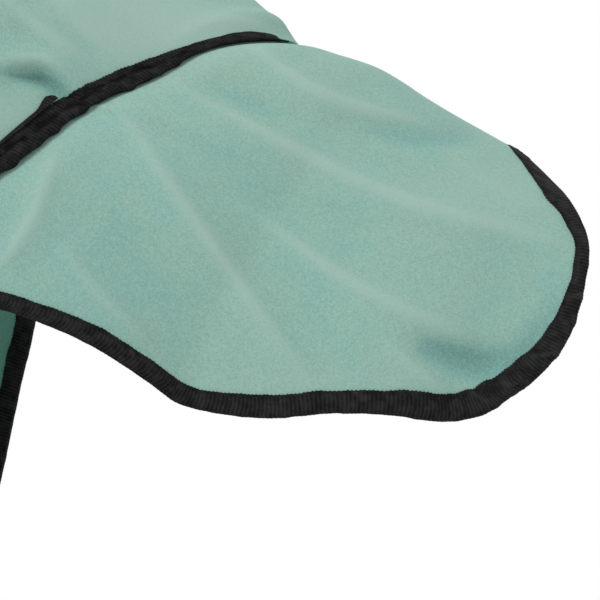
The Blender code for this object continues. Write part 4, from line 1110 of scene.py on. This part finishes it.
def tab_path(rest, sewn, loop):
    """The tab's (s, n) places, doubled round the heel bar."""
    flat = np.linspace(HEEL_BAR + TAB_MEETS, KEEPER_AT + KEEPER_CLEAR, 3)
    ends = (TAB_END, TAB_END - TAB_SEWN)
    return ([(s, sewn + WEB + GAP) for s in ends]
            + [(s, rest + WEB + GAP) for s in flat[::-1]]
            + [(HEEL_BAR + TAB_LOOP, BAR_HEIGHT + loop - TAB_EASE[0])]
            + round_heel(loop, 90, 270, TAB_TURNS)
            + [(HEEL_BAR + TAB_LOOP, BAR_HEIGHT - loop + TAB_EASE[1])]
            + [(s, rest) for s in flat] + [(s, sewn) for s in ends[::-1]])


def band(name, chest, lines, ways, aside, profile, uv_step, keep=None):
    """A webbing wall along (s, w, n) places, from their outward ways and its section."""
    upper, lower = (np.array([[chest.at(*(place + aside * across + way * side * thick))
                               for across, thick in profile] for place, way in zip(lines, ways)])
                    for side in (1, -1))
    uv = [[(k * uv_step, (place + aside * across) @ (aside > 0)) for across, _ in profile]
          for k, place in enumerate(lines)]
    return wall(name, upper, lower, finish_of("webbing"), keep, uv)


def make_webbing(name, chest, path, hole, box):
    """Webbing along (s, n) places, with a hole for the prong and a box of stitches."""
    long = lengths(np.array(path))[-1]
    path = read_line(np.array(path), np.linspace(0, 1, int(long / WEB_STEP) + 1))
    run = unit(np.gradient(path, axis=0)) * WEB / 2
    keep = np.ones((len(path) - 1, len(WEB_PROFILE) - 1), bool)
    middle = (path[1:, 0] + path[:-1, 0]) / 2 - HEEL_BAR
    keep[(middle > hole[0]) & (middle < hole[1]), len(WEB_PROFILE) // 2 - 1] = False
    piece = band(name + "_webbing", chest, np.insert(path, 1, 0, axis=1),
                 np.insert(run[:, ::-1] * (-1, 1), 1, 0, axis=1),
                 np.array([0, WEB_WIDTH / 2, 0]), WEB_PROFILE, WEB_STEP, keep)
    place(piece, "webbing", name)
    stitches = make_stitches(name + "_stitches", sewn_box(chest, *box))


def sewn_box(chest, start, end, high):
    """The lines of a crossed box of stitches."""
    wide = WEB_WIDTH / 2 - SEAM_ASIDE
    corners = np.array([(start, -wide), (end, -wide), (end, wide), (start, wide)])
    return [[chest.at(*(corners[a] + (corners[b] - corners[a]) * t), high)
             for t in np.linspace(0, 1, 12)]
            for a, b in ((0, 1), (1, 2), (2, 3), (3, 0), (0, 2), (1, 3))]


def make_keeper(chest, rest, on_tab):
    """A thin loop round the strap's tail and the tab."""
    low, high = rest - WEB / 2 - GAP - KEEPER / 2, on_tab + WEB / 2 + GAP + KEEPER / 2
    outline = np.array(list(round_box(WEB_WIDTH / 2 + GAP + KEEPER / 2, (high - low) / 2,
                                      KEEPER_ROUND, 5)))[[*range(20), 0]]
    lines = np.insert(outline[:, :2] + (0, (high + low) / 2), 0, KEEPER_AT, axis=1)
    ways = np.insert(outline[:, 2:] * KEEPER / 2, 0, 0, axis=1)
    piece = band("strap_keeper_loop", chest, lines, ways, np.array([KEEPER_LONG / 2, 0, 0]),
                 KEEPER_PROFILE, KEEPER_STEP)
    place(merged(piece), "webbing", "strap_keeper")


def rod_mesh(name, centres, radius, closed=False):
    """A round rod along centres, with rounded ends or closed into a ring."""
    centres = np.array(centres)
    ahead, behind = np.roll(centres, -1, axis=0), np.roll(centres, 1, axis=0)
    radii = np.full(len(centres), radius)
    if not closed:
        ahead[-1], behind[0] = centres[-1], centres[0]
        radii[[0, 1, -1, -2]] *= ROD_ENDS * 2
    flat = unit(np.cross(centres[1] - centres[0], centres[len(centres) // 2] - centres[0]))
    across = unit(np.cross(flat, unit(ahead - behind)))
    turns = np.linspace(0, TURN, ROD_SIDES, endpoint=False)[:, None]
    ways = np.cos(turns) * flat + np.sin(turns) * across[:, None]
    rings = centres[:, None] + radii[:, None, None] * ways
    return tube(name, rings, finish_of("steel"), closed=closed)


# ---- stitches, by Geometry Nodes
def stitch_tree():
    """A node group that lays thread stitches along the edges of a mesh."""
    nodes = Nodes(bpy.data.node_groups.new("stitch_row", "GeometryNodeTree"))
    for label, kind, size in (("Geometry", "Geometry", None), ("Stitch length", "Float", 0.0026),
                              ("Stitch pitch", "Float", 0.0034), ("Thread", "Float", 0.00045),
                              ("Thread finish", "Material", None)):
        socket = nodes.tree.interface.new_socket(label, in_out="INPUT",
                                                 socket_type="NodeSocket" + kind)
        if size:
            socket.default_value = size
    nodes.tree.interface.new_socket("Geometry", in_out="OUTPUT", socket_type="NodeSocketGeometry")

    def first(kind, values=None, **settings):
        return nodes.node(kind, values, **settings).outputs[0]

    given = nodes.node("NodeGroupInput").outputs
    curve = first("GeometryNodeMeshToCurve", {"Mesh": given["Geometry"]})
    spaced = first("GeometryNodeResampleCurve", {"Curve": curve, "Length": given["Stitch pitch"]},
                   mode="LENGTH")
    ball = first("GeometryNodeMeshIcoSphere", {"Radius": 0.5, "Subdivisions": 1})
    size = first("ShaderNodeCombineXYZ", {"X": given["Stitch length"], "Y": given["Thread"],
                                          "Z": given["Thread"]})
    stitch = first("GeometryNodeTransform", {"Geometry": ball, "Scale": size})
    turned = first("FunctionNodeAlignRotationToVector",
                   {"Vector": first("GeometryNodeInputTangent")}, axis="X")
    laid = first("GeometryNodeInstanceOnPoints", {
        "Points": spaced, "Instance": first("GeometryNodeSetShadeSmooth", {"Geometry": stitch}),
        "Rotation": turned})
    real = first("GeometryNodeRealizeInstances", {"Geometry": laid})
    painted = first("GeometryNodeSetMaterial", {"Geometry": real,
                                                "Material": given["Thread finish"]})
    nodes.node("NodeGroupOutput", {"Geometry": painted})
    return nodes.tree


def make_stitches(name, lines):
    """Rows of stitches along lines of places, as one plain mesh."""
    tree = bpy.data.node_groups.get("stitch_row") or stitch_tree()
    points, edges = [], []
    for line in lines:
        edges += [(k, k + 1) for k in range(len(points), len(points) + len(line) - 1)]
        points += [tuple(place) for place in line]
    mesh = bpy.data.meshes.new(name + "_line")
    mesh.from_pydata(points, edges, [])
    guide = add_object(name + "_line", mesh)
    modifier = guide.modifiers.new("stitches", "NODES")
    modifier.node_group = tree
    sizes = bpy.context.scene.rug_sizes
    wanted = {"Stitch length": sizes.stitch_length, "Stitch pitch": sizes.stitch_pitch,
              "Thread": sizes.thread, "Thread finish": finish_of("thread")}
    for item in tree.interface.items_tree:
        if item.in_out == "INPUT" and item.name in wanted:
            modifier[item.identifier] = wanted[item.name]
    evaluated = guide.evaluated_get(bpy.context.evaluated_depsgraph_get())
    result = bpy.data.meshes.new_from_object(evaluated)
    guide.modifiers.clear()
    bpy.data.objects.remove(guide)
    if not result.polygons:
        raise RuntimeError(f"{name} has no stitches")
    result.name = name
    return place(add_object(name, result), "tape")


# ---- stage
def make_floor():
    """A pale round floor that fades to white and keeps the rug's shadow."""
    work = bmesh.new()
    bmesh.ops.create_circle(work, cap_ends=True, segments=FLOOR_SIDES, radius=FLOOR_RADIUS)
    mesh = bpy.data.meshes.new("floor")
    work.to_mesh(mesh)
    work.free()
    floor = add_object("floor", mesh)
    floor.location.z = FLOOR_LEVEL
    paint = Paint("rug_floor")
    spread = paint.read("ShaderNodeVectorMath", "Value", {0: paint.coordinates()},
                        operation="LENGTH")
    rays = paint.node("ShaderNodeLightPath").outputs
    seen = Reading(paint, rays["Is Camera Ray"]).at_least(rays["Is Glossy Ray"])
    white = paint.node("ShaderNodeEmission", {"Strength": 1.0})
    mix = paint.node("ShaderNodeMixShader", {"Fac": seen * spread.between(*FLOOR_FADE),
                                             1: paint.shader.outputs[0], 2: white.outputs[0]})
    paint.feed(paint.tree.nodes["Material Output"], {"Surface": mix.outputs[0]})
    mesh.materials.append(paint.finish(base_color=(0.86, 0.86, 0.86, 1.0), roughness=0.9))


def make_light():
    """An even white surround and two broad lamps."""
    world = bpy.data.worlds.new("surround")
    bpy.context.scene.world = world
    world.use_nodes = True
    nodes = Nodes(world.node_tree)
    rays = nodes.node("ShaderNodeLightPath").outputs
    seen = Reading(nodes, rays["Is Camera Ray"])
    for ray in ("Is Glossy Ray", "Is Transmission Ray"):
        seen = seen.at_least(rays[ray])
    strength = nodes.read("ShaderNodeMapRange", "Result",
                          {"Value": seen, "To Min": SURROUND, "To Max": 1.0})
    nodes.feed(nodes.tree.nodes["Background"], {"Strength": strength,
                                                "Color": (1.0, 1.0, 1.0, 1.0)})
    for name, spot, target, size, power in LAMPS:
        lamp = bpy.data.lights.new(name, "AREA")
        lamp.size, lamp.energy = size, power
        aim(add_object(name, lamp), spot, Vector(target) - Vector(spot))


def aim(thing, spot, ahead):
    """Put a lamp or the camera on its spot, looking ahead."""
    thing.location = spot
    thing.rotation_euler = Vector(ahead).to_track_quat("-Z", "Y").to_euler()


def make_camera():
    """A long lens on the tail end, from the left and slightly above."""
    right = np.array([math.cos(VIEW_TURN), math.sin(VIEW_TURN), 0.0])
    ahead = np.array([-right[1], right[0], 0.0]) * math.cos(VIEW_TILT)
    ahead[2] = -math.sin(VIEW_TILT)
    up = np.cross(right, ahead)
    lens = bpy.data.cameras.new("camera")
    lens.lens, lens.sensor_width, lens.clip_end = VIEW_LENS, 36.0, 60.0
    camera = add_object("camera", lens)
    aim(camera, DOCK - DOCK_ASIDE * right - DOCK_ABOVE * up - VIEW_DISTANCE * ahead, ahead)
    bpy.context.scene.camera = camera


# ---- settings, operators and panel
def length(name, default, description):
    return FloatProperty(name=name, description=description, default=default, unit="LENGTH")


def colour(name, default, description):
    return FloatVectorProperty(name=name, description=description, default=default,
                               subtype="COLOR", min=0.0, max=1.0)


class RugSizes(PropertyGroup):
    rib_pitch: length("Rib pitch", 0.0027, "Distance between the tape's ribs")
    rib_depth: length("Rib depth", 0.00022, "How far a rib stands out of the tape")
    stitch_length: length("Stitch length", 0.0014, "Length of one stitch")
    stitch_pitch: length("Stitch pitch", 0.0035, "Distance between stitches")
    thread: length("Thread", 0.00045, "Thickness of the sewing thread")


class RugColours(PropertyGroup):
    fleece: colour("Fleece", (0.280, 0.462, 0.392), "Colour of the fleece")
    tape: colour("Tape", (0.0075, 0.0076, 0.0078), "Colour of the binding and webbing")
    steel: colour("Steel", (0.55, 0.56, 0.57), "Colour of the buckle")
    nap: length("Nap", 0.0011, "Size of the fleece's pebbled grain")


class RUG_OT_fleece(Operator):
    """Make the two halves of the body and the tail flap"""
    bl_idname = "rug.fleece"
    bl_label = "Fleece panels"

    def execute(self, context):
        for name in ("left_body", "right_body"):
            make_panel(name)
        make_panel("tail_flap")
        return {"FINISHED"}


class RUG_OT_bindings(Operator):
    """Make the folded bindings, the spare tape end and their stitches"""
    bl_idname = "rug.bindings"
    bl_label = "Bindings"

    def execute(self, context):
        runs = {name + "_body": (body_path(name), ()) for name in ("left", "right")}
        runs["flap"] = (flap_path(), FLAP_PUCKERS)
        for name, (path, puckers) in runs.items():
            left = path.long - path.run
            roll = (name != "flap") * ease(*ROLL_FROM, left) * (1 - ease(*ROLL_TO, left))
            tape, rows = tape_mesh(name + "_binding_tape", path, puckers, roll)
            place(tape, "tape", name + "_binding")
            stitches = make_stitches(name + "_binding_stitches", rows)
        make_tape_end()
        return {"FINISHED"}


class RUG_OT_chest(Operator):
    """Make the chest strap, the buckle's tab, the keeper and their stitches"""
    bl_idname = "rug.chest"
    bl_label = "Chest strap"

    def execute(self, context):
        chest = ChestFrame()
        strap, rest, on_tab, sewn, loop = strap_path()
        make_webbing("chest_strap", chest, strap, STRAP_HOLE,
                     (STRAP_START + SEAM_IN, STRAP_START + STRAP_SEWN - SEAM_IN, sewn + WEB / 2))
        make_webbing("buckle_tab", chest, tab_path(rest, sewn, loop), TAB_SLOT,
                     (TAB_END - TAB_SEWN + TAB_SEAM_IN, TAB_END - TAB_SEAM_IN,
                      sewn + WEB * 1.5 + GAP))
        make_keeper(chest, rest, on_tab)
        return {"FINISHED"}


class RUG_OT_buckle(Operator):
    """Make the buckle's round rod frame and its prong"""
    bl_idname = "rug.buckle"
    bl_label = "Buckle"

    def execute(self, context):
        chest = ChestFrame()
        middle = (HEEL_BAR + FRONT_BAR) / 2
        outline = round_box((HEEL_BAR - FRONT_BAR) / 2, WEB_WIDTH / 2 + BAR_RADIUS + BUCKLE_SPARE,
                            BUCKLE_ROUND, 9)
        bars = [chest.at(middle + u, w, BAR_HEIGHT) for u, w, *_ in outline]
        place(rod_mesh("buckle_frame_rod", bars, BAR_RADIUS, True), "steel", "buckle_frame")
        wrap = BAR_RADIUS + GAP + PRONG_RADIUS
        straight = np.linspace(HEEL_BAR - PRONG_RUN, FRONT_BAR - PRONG_TIP, 14)
        prong = round_heel(wrap, *PRONG_HOOK, 16) + [(s, BAR_HEIGHT + wrap) for s in straight]
        places = [chest.at(s, 0.0, n) for s, n in prong]
        place(rod_mesh("buckle_prong_rod", places, PRONG_RADIUS), "steel", "buckle_prong")
        return {"FINISHED"}


class RUG_OT_stage(Operator):
    """Make the floor, the light and the camera"""
    bl_idname = "rug.stage"
    bl_label = "Stage"

    def execute(self, context):
        make_floor()
        make_light()
        make_camera()
        context.scene.view_settings.view_transform = "Standard"
        return {"FINISHED"}


class RUG_PT_panel(Panel):
    bl_idname = "RUG_PT_panel"
    bl_label = "Horse rug"
    bl_space_type = "VIEW_3D"
    bl_region_type = "UI"
    bl_category = "Rug"

    def draw(self, context):
        for group in (context.scene.rug_sizes, context.scene.rug_colours):
            for key in group.__annotations__:
                self.layout.prop(group, key)
        for operator in OPERATORS:
            self.layout.operator(operator.bl_idname)


OPERATORS = (RUG_OT_fleece, RUG_OT_bindings, RUG_OT_chest, RUG_OT_buckle, RUG_OT_stage)
CLASSES = (RugSizes, RugColours) + OPERATORS + (RUG_PT_panel,)


def register():
    for each in CLASSES:
        bpy.utils.register_class(each)
    bpy.types.Scene.rug_sizes = PointerProperty(type=RugSizes)
    bpy.types.Scene.rug_colours = PointerProperty(type=RugColours)


def unregister():
    del bpy.types.Scene.rug_colours
    del bpy.types.Scene.rug_sizes
    for each in reversed(CLASSES):
        bpy.utils.unregister_class(each)


def main():
    register()
    bpy.ops.rug.fleece()
    bpy.ops.rug.bindings()
    bpy.ops.rug.chest()
    bpy.ops.rug.buckle()
    bpy.ops.rug.stage()


if __name__ == "__main__":
    main()
